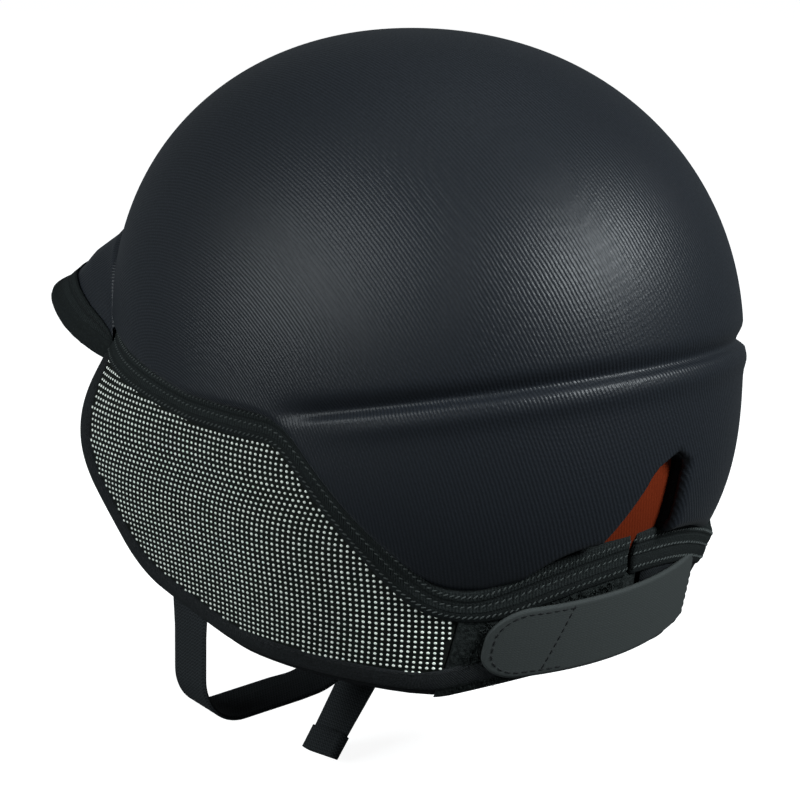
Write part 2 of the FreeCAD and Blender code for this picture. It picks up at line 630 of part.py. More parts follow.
def prong(sign):
    """One sprung arm, with the head that shows in the socket's side window."""
    inner = SOCKET_WIDTH / 2 - SOCKET_WALL - BUCKLE_FIT
    head0, head1 = head_span()
    outline = [
        (SOCKET_MOUTH_X - BUCKLE_FIT / 2, PRONG_INNER_Y),
        (head0, PRONG_INNER_Y + PRONG_ARM / 2),
        (head0, inner - PRONG_ARM),
        (head0 + PRONG_ARM, SOCKET_WIDTH / 2),
        (head1, SOCKET_WIDTH / 2),
        (head1, PRONG_INNER_Y + PRONG_NECK),
        (SOCKET_MOUTH_X - BUCKLE_FIT / 2, PRONG_INNER_Y + PRONG_ARM),
    ]
    points = [V(x, STRAP_Y + sign * y, BUCKLE_Z - CLIP_HALF_THICK) for x, y in outline]
    face = Part.Face(Part.makePolygon(points + points[:1]))
    return face.extrude(V(0, 0, 2 * CLIP_HALF_THICK))


def buckle_pieces():
    return {
        "buckle_socket": socket(),
        "buckle_clip": clip(),
        "buckle_prong_front": prong(-1),
        "buckle_prong_rear": prong(1),
    }


# ---- the whole helmet --------------------
def helmet():
    pieces = {}
    pieces.update(shell_layers())
    pieces.update(brim_pieces())
    for name, piece in skirt_pieces().items():
        pieces[name] = piece
        if name == "left_loop_panel":
            pieces["right_nape_panel"] = mirrored(piece)
        elif name.startswith("left_"):
            pieces["right_" + name[5:]] = mirrored(piece)
    pieces.update(tab_pieces())
    pieces.update(strap_pieces())
    pieces.update(buckle_pieces())
    return pieces


os.makedirs("parts", exist_ok=True)
for node, shape in helmet().items():
    solids = shape.Solids
    print(node, len(solids), shape.isValid(), round(shape.Volume / 1000, 2), "cm3")
    whole = solids[0] if len(solids) == 1 else Part.makeCompound(solids)
    whole.exportStep("parts/" + node + ".step")
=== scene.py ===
"""Looks of the soft water helmet: a fabric-covered foam shell with a short brim, mesh ear flaps, a
hook-and-loop fit tab at the nape and a webbing chin strap with a side-release buckle.

Lengths are in millimetres until a mesh is made. The shell and the skirt below it are the two surfaces
that every piece of cloth follows: a turn round the head, a height, and an inset from the outside.
"""
import bmesh
import bpy
import json
import math
import numpy as np
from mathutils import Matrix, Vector

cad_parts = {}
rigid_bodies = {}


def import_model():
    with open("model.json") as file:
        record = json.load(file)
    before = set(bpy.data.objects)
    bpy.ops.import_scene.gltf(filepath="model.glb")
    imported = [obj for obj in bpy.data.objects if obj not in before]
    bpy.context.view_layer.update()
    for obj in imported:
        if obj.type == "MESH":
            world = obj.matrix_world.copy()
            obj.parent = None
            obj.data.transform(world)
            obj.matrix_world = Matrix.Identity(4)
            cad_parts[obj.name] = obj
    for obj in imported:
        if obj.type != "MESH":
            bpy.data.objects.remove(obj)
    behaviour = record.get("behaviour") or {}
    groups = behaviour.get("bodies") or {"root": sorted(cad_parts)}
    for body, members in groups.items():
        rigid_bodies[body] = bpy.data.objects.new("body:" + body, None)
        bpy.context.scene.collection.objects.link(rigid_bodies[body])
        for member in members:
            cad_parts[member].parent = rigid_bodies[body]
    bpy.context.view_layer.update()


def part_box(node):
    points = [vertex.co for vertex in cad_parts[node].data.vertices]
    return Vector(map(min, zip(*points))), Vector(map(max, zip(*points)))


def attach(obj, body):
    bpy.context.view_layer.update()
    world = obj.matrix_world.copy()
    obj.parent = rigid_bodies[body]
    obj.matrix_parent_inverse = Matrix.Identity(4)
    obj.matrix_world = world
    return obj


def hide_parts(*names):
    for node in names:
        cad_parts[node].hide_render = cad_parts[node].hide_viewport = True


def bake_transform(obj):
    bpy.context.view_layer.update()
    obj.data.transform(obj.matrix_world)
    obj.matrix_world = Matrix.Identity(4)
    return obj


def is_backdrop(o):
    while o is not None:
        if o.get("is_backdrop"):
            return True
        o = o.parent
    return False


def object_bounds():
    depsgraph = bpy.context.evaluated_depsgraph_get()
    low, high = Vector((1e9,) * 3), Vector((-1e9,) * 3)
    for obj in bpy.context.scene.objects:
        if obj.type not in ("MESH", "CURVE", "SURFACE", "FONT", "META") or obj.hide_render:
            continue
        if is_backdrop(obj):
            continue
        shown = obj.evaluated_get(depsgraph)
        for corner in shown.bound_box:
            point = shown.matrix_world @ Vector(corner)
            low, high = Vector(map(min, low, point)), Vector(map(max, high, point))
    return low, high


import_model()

MM = 0.001
scene = bpy.context.scene

# ---- sizes ----
COVER_LOW, COVER_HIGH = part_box("outer_cover")
HALF_WIDTH, HALF_LENGTH, RISE = (c / MM for c in COVER_HIGH)
CROWN_POWER = 2.12
TUCK_SHARE = 0.09
TUCK_DEPTH = 60.0
COVER_THICK = 1.5
FOAM_IN = 12.5
LINER_IN = 15.5
RIM_LINE = [(-150, 10), (-66, -2.5), (-14, -9.5), (33, -10.5), (79, -71.5), (150, -26.5)]
RIM_RADII = [60, 80, 24, 12]
FLAP_LINE = [(-90, 20), (-85, -52), (-58, -88), (-8, -104), (68, -108), (150, -78)]
FLAP_RADII = [36, 40, 60, 24]
TAPE_WIDTH = 11.0
TAPE_THICK = 2.0
MESH_SUNK = 0.6
LINING_SHOWS = 3.4
EDGE_WIDTH = 6.2
PADDING_IN = 6.0
EDGE_ROLL = 4.0              # radius of the cover where it turns in at the rim
SLIT_TOP, SLIT_RADIUS, SLIT_LOW, SLIT_WIDE = -22.5, 8.5, -50.0, 14.5
SLIT_LEAN = (-0.4, 9.6)      # its middle moves this far to the left from top to bottom
SLIT_DRAW = 45.0             # columns this near the middle are drawn aside by the slit
SLIT_LINING_IN = (7.2, 9.0)  # insets of the faces of the red lining behind the slit
BACK_DROP = 5.5              # the cover reaches this much lower at the back
NAPE_SWELL = 5.0             # and the right of the nape stands out by this much
DOT_ROW, DOT_STEP = 1.96, 2.3
GROOVE_HEIGHT, GROOVE_RISE, GROOVE_DEEP, GROOVE_LIP = -16.4, 0.204, 2.8, 1.1
STRAP_Y = -42.0
STRAP_WIDTH = 20.0
STRAP_ROOT_X, STRAP_HANG_X = 81.6, 74.4
BUCKLE_Z = -130.0
SKIRT_Z = np.array([-114.0, -70.0, -35.0, -12.0, 14.0])
SKIRT_SIDES = [22.5, 11.5, 6.3, 5.7, 6.0]
SKIRT_BEHIND = [27.0, 17.0, 11.0, 7.0, 6.0]
SKIRT_FRONT = [4.0, -2.0, -7.0, 2.0, 6.0]
SKIRT_POWER = [3.6, 3.6, 3.6, 2.5, 2.0]


# ---- lines and surfaces ----
def smooth(t):
    t = np.clip(t, 0.0, 1.0)
    return t * t * (3 - 2 * t)


def mixed(a, b, t):
    return a + (b - a) * t


def spline(knots, values):
    """A natural cubic through the values, run on straight beyond its ends."""
    x, y = np.array(knots, float), np.array(values, float)
    n = len(x)
    h = np.diff(x)
    system, right = np.eye(n), np.zeros(n)
    for i in range(1, n - 1):
        system[i, i - 1:i + 2] = h[i - 1], 2 * (h[i - 1] + h[i]), h[i]
        right[i] = 6 * ((y[i + 1] - y[i]) / h[i] - (y[i] - y[i - 1]) / h[i - 1])
    bend = np.linalg.solve(system, right)

    def at(t):
        t = np.clip(np.asarray(t, float), x[0], x[-1])
        i = np.clip(np.searchsorted(x, t) - 1, 0, n - 2)
        a, b = (x[i + 1] - t) / h[i], (t - x[i]) / h[i]
        curve = (a ** 3 - a) * bend[i] + (b ** 3 - b) * bend[i + 1]
        return a * y[i] + b * y[i + 1] + curve * h[i] ** 2 / 6
    return at


skirt_sides, skirt_behind = spline(SKIRT_Z, SKIRT_SIDES), spline(SKIRT_Z, SKIRT_BEHIND)
skirt_front, skirt_power = spline(SKIRT_Z, SKIRT_FRONT), spline(SKIRT_Z, SKIRT_POWER)


def rounded(corners, radii, shift=0.0):
    """Points along a line with rounded corners, moved to the right of the way it runs by shift."""
    corners = [np.array(c, float) for c in corners]
    points = [corners[0]]
    for a, b, c, r in zip(corners, corners[1:], corners[2:], radii):
        u, w = (a - b) / np.linalg.norm(a - b), (c - b) / np.linalg.norm(c - b)
        half = math.acos(float(u @ w)) / 2
        back = r / math.tan(half)
        middle = b + (u + w) / np.linalg.norm(u + w) * r / math.sin(half)
        start, end = b + u * back - middle, b + w * back - middle
        turn = math.acos(float(np.clip(start @ end / r ** 2, -1, 1)))
        for k in range(17):
            t = k / 16
            swung = start * math.sin((1 - t) * turn) + end * math.sin(t * turn)
            points.append(middle + swung / math.sin(turn))
    points.append(corners[-1])
    points = resampled(np.array(points), 500)
    along = np.gradient(points, axis=0)
    along /= np.linalg.norm(along, axis=1)[:, None]
    return points + shift * np.stack([along[:, 1], -along[:, 0]], -1)


def lengths(points):
    step = np.linalg.norm(np.diff(points, axis=0), axis=1)
    return np.concatenate([[0.0], np.cumsum(step)])


def resampled(points, count, density=None):
    """The same line with evenly spaced points, or closer together where density is high."""
    run = lengths(points)
    if density is not None:
        between = (density[1:] + density[:-1]) / 2 * np.diff(run)
        run = np.concatenate([[0.0], np.cumsum(between)])
    at = np.linspace(0, run[-1], count)
    return np.stack([np.interp(at, run, points[:, k]) for k in range(points.shape[1])], -1)


def height_line(points):
    order = np.argsort(points[:, 0])
    ys, zs = points[order, 0], points[order, 1]
    return lambda y: np.interp(y, ys, zs)


def shell_share(z, rise):
    low = 1 - TUCK_SHARE * (np.maximum(-z, 0) / TUCK_DEPTH) ** 3
    high = np.maximum(1 - (np.maximum(z, 0) / rise) ** CROWN_POWER, 0) ** (1 / CROWN_POWER)
    return np.where(z < 0, low, high)


def slit_half(z):
    """Half width of the slit at the back, at each height."""
    z = np.asarray(z, float)
    centre = SLIT_TOP - SLIT_RADIUS
    cap = np.sqrt(np.maximum(SLIT_RADIUS ** 2 - (z - centre) ** 2, 0))
    side = mixed(SLIT_RADIUS, SLIT_WIDE, (centre - z) / (centre - SLIT_LOW))
    return np.where(z > centre, cap, side)


def slit_middle(z):
    share = (SLIT_TOP - z) / (SLIT_TOP - SLIT_LOW)
    return np.where(z < SLIT_TOP, mixed(*SLIT_LEAN, share), SLIT_LEAN[0] * smooth(1 - (z - SLIT_TOP) / 20))


def shell_point(turn, z, inset):
    """On the shell, with z measured on its outside. The slit draws the back columns aside."""
    z = z + 0 * turn
    share = shell_share(z, RISE)
    wide, long = (HALF_WIDTH - inset) * share, (HALF_LENGTH - inset) * share
    x, y = wide * np.cos(turn), long * np.sin(turn)
    near = (y > 0) & (np.abs(x) < SLIT_DRAW)
    side = np.where(turn < 1.5 * math.pi, -1.0, 1.0)
    edge = slit_middle(z) + side * slit_half(z)
    x = np.where(near, side * np.abs(x) + edge * (1 - np.abs(x) / SLIT_DRAW), x)
    y = np.where(near, long * np.sqrt(np.maximum(1 - (x / np.maximum(wide, 1)) ** 2, 0)), y)
    return np.stack([x, y, np.where(z > 0, z * (RISE - inset) / RISE, z)], -1)


def skirt_radius(turn, z, inset):
    wide = HALF_WIDTH - skirt_sides(z) - inset
    behind = np.sin(turn) >= 0
    long = HALF_LENGTH - np.where(behind, skirt_behind(z), skirt_front(z)) - inset
    n = np.where(behind, 2.0, skirt_power(z))
    return ((np.abs(np.cos(turn)) / wide) ** n + (np.abs(np.sin(turn)) / long) ** n) ** (-1 / n)


def skirt_point(turn, z, inset):
    z = z + 0 * turn
    r = skirt_radius(turn, z, inset)
    return np.stack([r * np.cos(turn), r * np.sin(turn), z], -1)


def skirt_turn(y, z):
    """The turn of a point that is seen from the side at (y, z), on the wearer's left."""
    wide = HALF_WIDTH - skirt_sides(z)
    long = HALF_LENGTH - np.where(y >= 0, skirt_behind(z), skirt_front(z))
    n = np.where(y >= 0, 2.0, skirt_power(z))
    x = wide * np.maximum(1 - np.minimum(np.abs(y) / long, 1) ** n, 0) ** (1 / n)
    return np.arctan2(y, x)


def on_skirt(line, turns):
    """Heights at which a side-view line is met at each turn."""
    z = np.full(len(turns), -20.0)
    for _ in range(30):
        y = skirt_radius(turns, z, 0) * np.sin(turns)
        z = 0.5 * z + 0.5 * line(y)
    return z


rim = height_line(rounded(RIM_LINE, RIM_RADII))
tape_foot = height_line(rounded(RIM_LINE, RIM_RADII, TAPE_WIDTH))
flap_foot = height_line(rounded(FLAP_LINE, FLAP_RADII))


# ---- meshes ----
def make_object(name, points, faces, material, uv=None):
    mesh = bpy.data.meshes.new(name)
    mesh.from_pydata((np.asarray(points) * MM).tolist(), [], [[int(i) for i in f] for f in faces])
    work = bmesh.new()
    work.from_mesh(mesh)
    bmesh.ops.recalc_face_normals(work, faces=work.faces)
    work.to_mesh(mesh)
    work.free()
    if uv is not None:
        corner = np.empty(len(mesh.loops), int)
        mesh.loops.foreach_get("vertex_index", corner)
        layer = mesh.uv_layers.new(name="Flat")
        layer.data.foreach_set("uv", (np.asarray(uv)[corner] * MM).astype(np.float32).ravel())
    mesh.materials.append(material)
    mesh.shade_smooth()
    made = bpy.data.objects.new(name, mesh)
    scene.collection.objects.link(made)
    return made


def quads(index):
    return np.stack([index[:-1, :-1], index[1:, :-1], index[1:, 1:], index[:-1, 1:]], -1).reshape(-1, 4)


def ring_walls(loop, offset):
    return [(a, b, b + offset, a + offset) for a, b in zip(loop, np.roll(loop, -1))]


def thick(name, outer, inner, material, inside=None):
    """A closed piece between two grids of points. Its flat map runs along and across it in mm."""
    n, k = outer.shape[:2]
    index = np.arange(n * k).reshape(n, k)
    loop = np.concatenate([index[:, 0], index[-1, 1:], index[-2::-1, -1], index[0, -2:0:-1]])
    faces = list(quads(index)) + list(quads(index)[:, ::-1] + n * k) + ring_walls(loop, n * k)
    u = lengths(outer[:, k // 2])
    v = lengths(outer[n // 2])
    flat = np.stack(np.broadcast_arrays(u[:, None], v[None, :]), -1).reshape(-1, 2)
    points = np.concatenate([outer.reshape(-1, 3), inner.reshape(-1, 3)])
    made = make_object(name, points, faces, material, np.concatenate([flat, flat]))
    if inside:
        made.data.materials.append(inside)
        for face in made.data.polygons:
            if min(face.vertices) >= n * k:
                face.material_index = 1
    return made


def edge_fall(distance, radius):
    """How far a rounded edge falls away at this distance from the border."""
    d = np.clip(radius - distance, 0, radius)
    return radius - np.sqrt(radius ** 2 - d ** 2)


def border_distance(outer):
    """Distance of each point of a grid from the nearest of its four borders."""
    du = np.linalg.norm(np.diff(outer, axis=0), axis=2)
    dv = np.linalg.norm(np.diff(outer, axis=1), axis=2)
    u = np.concatenate([np.zeros((1, outer.shape[1])), np.cumsum(du, axis=0)])
    v = np.concatenate([np.zeros((outer.shape[0], 1)), np.cumsum(dv, axis=1)], axis=1)
    return np.minimum(np.minimum(u, u[-1] - u), np.minimum(v, v[:, -1:] - v))


def coons(top, bottom, first, last):
    """A grid filled in between four lines. top and bottom run the same way, and so do first and last."""
    n, k = len(top), len(first)
    s, t = np.linspace(0, 1, n)[:, None, None], np.linspace(0, 1, k)[None, :, None]
    across = mixed(top[:, None], bottom[:, None], t)
    along = mixed(first[None], last[None], s)
    corners = mixed(mixed(top[0], top[-1], s), mixed(bottom[0], bottom[-1], s), t)
    return across + along - corners


def eased(count, ends=2.0):
    """Shares from 0 to 1, closer together near both ends."""
    t = np.linspace(0, 1, count)
    return t - (1 - 1 / ends) * np.sin(2 * math.pi * t) / (2 * math.pi)


# ---- copies of a small part along lines, by geometry nodes ----
class Nodes:
    """Adds nodes to a tree in one call each."""

    def __init__(self, tree):
        self.tree = tree

    def add(self, kind, settings=(), **inputs):
        node = self.tree.nodes.new(kind)
        for key, value in dict(settings).items():
            setattr(node, key, value)
        for key, value in inputs.items():
            self.feed(node.inputs[key.replace("_", " ")], value)
        return node

    def feed(self, socket, value):
        if isinstance(value, Sum):
            value = value.socket
        if isinstance(value, bpy.types.NodeSocket):
            self.tree.links.new(value, socket)
        else:
            socket.default_value = value


class Sum:
    """A number in a node tree that can be added, multiplied and compared like any other."""

    def __init__(self, nodes, socket):
        self.nodes = nodes
        self.socket = socket

    def call(self, operation, *values):
        node = self.nodes.tree.nodes.new("ShaderNodeMath")
        node.operation = operation
        for socket, value in zip(node.inputs, (self,) + values):
            self.nodes.feed(socket, value)
        return Sum(self.nodes, node.outputs[0])

    def flipped(self, operation, value):
        node = self.nodes.tree.nodes.new("ShaderNodeMath")
        node.operation = operation
        self.nodes.feed(node.inputs[0], value)
        self.nodes.feed(node.inputs[1], self)
        return Sum(self.nodes, node.outputs[0])

    def wave(self):
        """0 to 1 and back once in every unit."""
        return (self * (2 * math.pi)).call("SINE") * 0.5 + 0.5

    def clipped(self):
        node = self.call("ADD", 0.0)
        node.socket.node.use_clamp = True
        return node

    def above(self, level, softness):
        return ((self - level) / softness + 0.5).clipped()

    def between(self, low, high, softness):
        return self.above(low, softness) * (1.0 - self.above(high, softness))


def add_operator(name, operation, reverse=False):
    if reverse:
        setattr(Sum, "__r" + name + "__", lambda self, other: self.flipped(operation, other))
    else:
        setattr(Sum, "__" + name + "__", lambda self, other: self.call(operation, other))


for label, operation in (("add", "ADD"), ("sub", "SUBTRACT"), ("mul", "MULTIPLY"), ("truediv", "DIVIDE")):
    add_operator(label, operation)
    add_operator(label, operation, reverse=True)


def copies_group():
    tree = bpy.data.node_groups.new("copies of a small part", "GeometryNodeTree")
    face = tree.interface
    face.new_socket("Geometry", in_out="INPUT", socket_type="NodeSocketGeometry")
    face.new_socket("Size", in_out="INPUT", socket_type="NodeSocketVector")
    face.new_socket("Vary", in_out="INPUT", socket_type="NodeSocketFloat")
    face.new_socket("Seed", in_out="INPUT", socket_type="NodeSocketInt")
    face.new_socket("Material", in_out="INPUT", socket_type="NodeSocketMaterial")
    face.new_socket("Geometry", in_out="OUTPUT", socket_type="NodeSocketGeometry")
    nodes = Nodes(tree)
    given = nodes.add("NodeGroupInput").outputs
    ball = nodes.add("GeometryNodeMeshUVSphere", Segments=8, Rings=5, Radius=0.5)
    vector = {"data_type": "FLOAT_VECTOR"}
    along = nodes.add("GeometryNodeInputNamedAttribute", vector, Name="along").outputs["Attribute"]
    out = nodes.add("GeometryNodeInputNamedAttribute", vector, Name="outward").outputs["Attribute"]
    first = nodes.add("FunctionNodeAlignRotationToVector", {"axis": "X"}, Vector=along)
    turned = nodes.add("FunctionNodeAlignRotationToVector", {"axis": "Z", "pivot_axis": "X"},
                       Rotation=first.outputs[0], Vector=out)
    chance = nodes.add("FunctionNodeRandomValue", {"data_type": "FLOAT"}, Seed=given["Seed"])
    share = nodes.add("ShaderNodeMath", {"operation": "MULTIPLY_ADD"})
    nodes.feed(share.inputs[0], [s for s in chance.outputs if s.enabled][0])
    nodes.feed(share.inputs[1], given["Vary"])
    share.inputs[2].default_value = 1.0
    scale = nodes.add("ShaderNodeVectorMath", {"operation": "SCALE"}, Scale=share.outputs[0])
    nodes.feed(scale.inputs[0], given["Size"])
    placed = nodes.add("GeometryNodeInstanceOnPoints", Points=given["Geometry"], Rotation=turned.outputs[0],
                       Instance=ball.outputs["Mesh"], Scale=scale.outputs[0])
    real = nodes.add("GeometryNodeRealizeInstances", Geometry=placed.outputs[0])
    soft = nodes.add("GeometryNodeSetShadeSmooth")
    nodes.feed(soft.inputs[0], real.outputs[0])
    painted = nodes.add("GeometryNodeSetMaterial", Geometry=soft.outputs[0], Material=given["Material"])
    nodes.feed(nodes.add("NodeGroupOutput").inputs[0], painted.outputs[0])
    return tree


COPIES = copies_group()


def copies(name, points, along, outward, size, material, vary=0.0, seed=7):
    """Rounded stitches, fibres or studs of that size in mm, one at each point."""
    mesh = bpy.data.meshes.new(name + "_points")
    mesh.from_pydata((np.asarray(points) * MM).tolist(), [], [])
    for key, values in (("along", along), ("outward", outward)):
        layer = mesh.attributes.new(key, "FLOAT_VECTOR", "POINT")
        layer.data.foreach_set("vector", np.asarray(values, np.float32).ravel())
    made = bpy.data.objects.new(name, mesh)
    scene.collection.objects.link(made)
    modifier = made.modifiers.new("copies", "NODES")
    modifier.node_group = COPIES
    given = {"Size": [s * MM for s in size], "Vary": vary, "Seed": seed, "Material": material}
    for item in COPIES.interface.items_tree:
        if item.in_out == "INPUT" and item.name in given:
            modifier[item.identifier] = given[item.name]
    made.update_tag()
    ready = made.evaluated_get(bpy.context.evaluated_depsgraph_get())
    plain = bpy.data.meshes.new_from_object(ready)
    made.modifiers.clear()
    made.data = plain
    made.data.name = name
    return made


def along_line(points, outward, pitch, start=0.0):
    """Places, directions and outward directions every pitch mm along a line."""
    run = lengths(points)
    at = np.arange(start, run[-1], pitch)
    place = np.stack([np.interp(at, run, points[:, k]) for k in range(3)], -1)
    out = np.stack([np.interp(at, run, outward[:, k]) for k in range(3)], -1)
    along = np.stack([np.interp(at, run, np.gradient(points[:, k], run)) for k in range(3)], -1)
    return place, along / np.linalg.norm(along, axis=1)[:, None], out / np.linalg.norm(out, axis=1)[:, None]


def grid_normals(points):
    """Outward directions of a grid that follows the helmet."""
    a, b = np.gradient(points, axis=0), np.gradient(points, axis=1)
    n = np.cross(a, b)
    n /= np.maximum(np.linalg.norm(n, axis=2), 1e-9)[..., None]
    away = points * np.array([1.0, 1.0, 0.3])
    return n * np.sign((n * away).sum(2))[..., None]


# ---- finishes ----
class Finish:
    """A material whose base is set once, with details that follow the piece."""

    def __init__(self, name, colour, roughness=0.8, specular=0.25, sheen=0.0):
        self.material = bpy.data.materials.new(name)
        self.material.use_nodes = True
        self.nodes = Nodes(self.material.node_tree)
        self.shader = self.material.node_tree.nodes["Principled BSDF"]
        self.colour = colour
        self.set("Base Color", (*colour, 1.0))
        self.set("Roughness", roughness)
        self.set("Specular IOR Level", specular)
        self.set("Sheen Weight", sheen)
        self.material.diffuse_color = (*colour, 1.0)

    def set(self, name, value):
        self.nodes.feed(self.shader.inputs[name], value)

    def parts(self, vector):
        split = self.nodes.add("ShaderNodeSeparateXYZ", Vector=vector)
        return [Sum(self.nodes, s) for s in split.outputs]

    def place(self):
        """Position on the helmet, in mm."""
        found = self.nodes.add("ShaderNodeTexCoord").outputs["Object"]
        return [p / MM for p in self.parts(found)]

    def flat(self):
        """Position along and across the piece, in mm."""
        found = self.nodes.add("ShaderNodeUVMap", {"uv_map": "Flat"}).outputs["UV"]
        return [p / MM for p in self.parts(found)[:2]]

    def noise(self, size, detail=2.0, stretch=(1.0, 1.0, 1.0), flat=False):
        """0 to 1, in clumps of that size in mm, longer where stretch is more than 1."""
        if flat:
            source = self.nodes.add("ShaderNodeUVMap", {"uv_map": "Flat"}).outputs["UV"]
        else:
            source = self.nodes.add("ShaderNodeTexCoord").outputs["Object"]
        scale = [1.0 / (MM * size * s) for s in stretch]
        scaled = self.nodes.add("ShaderNodeMapping", {"vector_type": "POINT"}, Vector=source)
        scaled.inputs["Scale"].default_value = scale
        made = self.nodes.add("ShaderNodeTexNoise", Vector=scaled.outputs[0], Scale=1.0, Detail=detail)
        return Sum(self.nodes, made.outputs[0])

    def bump(self, height, depth):
        """height is a number from 0 to 1 that stands for depth in mm."""
        made = self.nodes.add("ShaderNodeBump", Strength=1.0, Distance=depth * MM, Height=height)
        self.set("Normal", made.outputs[0])

    def shaded(self, amount, other):
        """The base colour turns into the other as amount goes from 0 to 1."""
        made = self.nodes.add("ShaderNodeMix", {"data_type": "RGBA"})
        self.nodes.feed(made.inputs[0], amount)
        colours = [s for s in made.inputs if s.type == "RGBA"]
        colours[0].default_value = (*self.colour, 1.0)
        colours[1].default_value = (*other, 1.0)
        self.set("Base Color", [s for s in made.outputs if s.type == "RGBA"][0])


def cover_cloth():
    """Close twill whose diagonal runs round the dome, with a fine grain."""
    finish = Finish("cover_twill", (0.0046, 0.0060, 0.0082), 0.5, 0.27)
    x, y, z = finish.place()
    wander = finish.noise(9.0) * 0.5
    reach = (x * x + y * y + z * z).call("SQRT")
    lean = ((x * -0.899 + y * 0.233 + z * 0.371) / reach).call("ARCSINE")
    ribs = (lean * (112.0 / 1.2) + wander).wave()
    beads = ((x * 0.35 + y * 0.62 + z * 0.70) / 1.3 + ribs * 0.3).wave()
    grain = finish.noise(0.8, 3.0)
    finish.bump(ribs * 0.5 + beads * ribs * 0.2 + grain * 0.7, 0.15)
    finish.shaded((ribs * 0.45 + grain * 0.9 - 0.3).clipped(), (0.0155, 0.0185, 0.024))
    finish.set("Roughness", (0.56 - grain * 0.24))
    return finish.material


def ribbed_tape():
    """Binding tape: cross ribs in two bands, with smooth selvedges and a groove between the bands."""
    finish = Finish("binding_tape", (0.0095, 0.0112, 0.0112), 0.8, 0.05)
    u, v = finish.flat()
    ribs = (u / 1.15).wave()
    bands = v.between(1.3, 5.0, 0.5) + v.between(6.0, 9.8, 0.5)
    grain = finish.noise(0.55, 3.0)
    finish.bump((ribs * bands * 0.4 + bands * 0.35 + grain * 0.6), 0.4)
    finish.shaded((grain * 1.3 + ribs * bands * 0.3 - 0.62).clipped(), (0.032, 0.039, 0.038))
    return finish.material


def plain_weave(name, colour, light, pitch, depth, roughness=0.85, specular=0.06, flat=True):
    """A square weave of that pitch in mm."""
    finish = Finish(name, colour, roughness, specular)
    u, v = finish.flat() if flat else finish.place()[:2]
    grain = finish.noise(pitch * 0.8, 2.0)
    over = ((u / pitch).wave() - 0.5) * ((v / pitch).wave() - 0.5) * 2.0 + 0.5
    finish.bump(over * 0.7 + grain * 0.4, depth)
    finish.shaded((over * 0.5 + grain - 0.5).clipped(), light)
    return finish.material


def webbing_cloth():
    """Webbing: lengthwise ribs with short slanting yarns."""
    finish = Finish("webbing", (0.0085, 0.010, 0.0105), 0.65, 0.08)
    u, v = finish.flat()
    ribs = (v / 3.3).wave()
    yarns = (u / 1.25 + (v / 1.65).wave() * 0.5).wave()
    grain = finish.noise(0.5, 2.0)
    finish.bump(ribs * 0.25 + yarns * 0.45 + grain * 0.3, 0.3)
    finish.shaded((yarns * 0.6 + grain * 0.6 - 0.35).clipped(), (0.034, 0.038, 0.042))
    return finish.material


def loop_pile():
    """The looped face that the tab's hooks hold on to."""
    finish = Finish("loop_pile", (0.006, 0.0075, 0.0073), 0.95, 0.04, 0.0)
    fluff = finish.noise(1.5, 4.0)
    fine = finish.noise(0.4, 3.0)
    finish.bump(fluff * 0.6 + fine * 0.5, 0.8)
    finish.shaded((fluff * 1.2 + fine * 0.9 - 0.85).clipped(), (0.05, 0.058, 0.056))
    return finish.material


def tab_cloth():
    """The tab's face: a close ribbed weave, a little paler than the rest."""
    finish = Finish("tab_weave", (0.031, 0.035, 0.034), 0.75, 0.15)
    u, v = finish.flat()
    ribs = (v / 0.95).wave()
    yarns = (u / 1.4 + ribs * 0.5).wave()
    grain = finish.noise(0.4, 3.0)
    finish.bump(ribs * 0.2 + yarns * 0.2 + grain * 0.4, 0.08)
    finish.shaded((grain * 0.8 + yarns * 0.15 - 0.2).clipped(), (0.054, 0.061, 0.060))
    return finish.material


def moulded(name, colour, roughness, grain_depth):
    finish = Finish(name, colour, roughness, 0.2)
    finish.bump(finish.noise(0.35, 2.0), grain_depth)
    return finish.material


def soft_foam(name, colour, size, depth):
    finish = Finish(name, colour, 0.95, 0.04)
    cells = finish.noise(size, 3.0)
    finish.bump(cells, depth)
    finish.shaded((cells * 1.4 - 0.5).clipped(), tuple(c * 2.2 for c in colour))
    return finish.material


COVER = cover_cloth()
TAPE = ribbed_tape()
MESH_CLOTH = plain_weave("mesh_base", (0.006, 0.007, 0.006), (0.016, 0.019, 0.016), 1.2, 0.2)
NAPE_CLOTH = plain_weave("nape_weave", (0.007, 0.008, 0.009), (0.022, 0.025, 0.027), 1.1, 0.2)
LINING_CLOTH = plain_weave("brim_lining_weave", (0.010, 0.011, 0.012), (0.025, 0.027, 0.028), 1.2, 0.15,
                           flat=False)
RED_LINING = plain_weave("red_lining", (0.115, 0.0145, 0.0036), (0.15, 0.021, 0.005), 1.3, 0.15, flat=False)
WEBBING = webbing_cloth()
LOOP = loop_pile()
TAB = tab_cloth()
FOAM = soft_foam("foam_cell", (0.006, 0.0065, 0.007), 1.3, 0.35)
PAD = soft_foam("padding_cloth", (0.007, 0.0075, 0.008), 0.8, 0.15)
EDGING = plain_weave("edging_tape", (0.009, 0.010, 0.0105), (0.035, 0.038, 0.04), 0.9, 0.25)
PLASTIC = moulded("moulded_black", (0.008, 0.0085, 0.009), 0.38, 0.02)
STUDS = moulded("white_dots", (0.84, 0.87, 0.80), 0.6, 0.005)
THREAD = moulded("thread_black", (0.006, 0.0065, 0.007), 0.6, 0.02)
PALE_THREAD = moulded("thread_grey", (0.045, 0.052, 0.05), 0.6, 0.02)
HOOKS = moulded("hook_face", (0.012, 0.012, 0.013), 0.5, 0.1)


# ---- shell ----
def shell_columns(count, crowd):
    u = np.linspace(0, 1, count)
    return math.pi / 2 + 2 * math.pi * (u - crowd * np.sin(2 * math.pi * u) / (2 * math.pi))


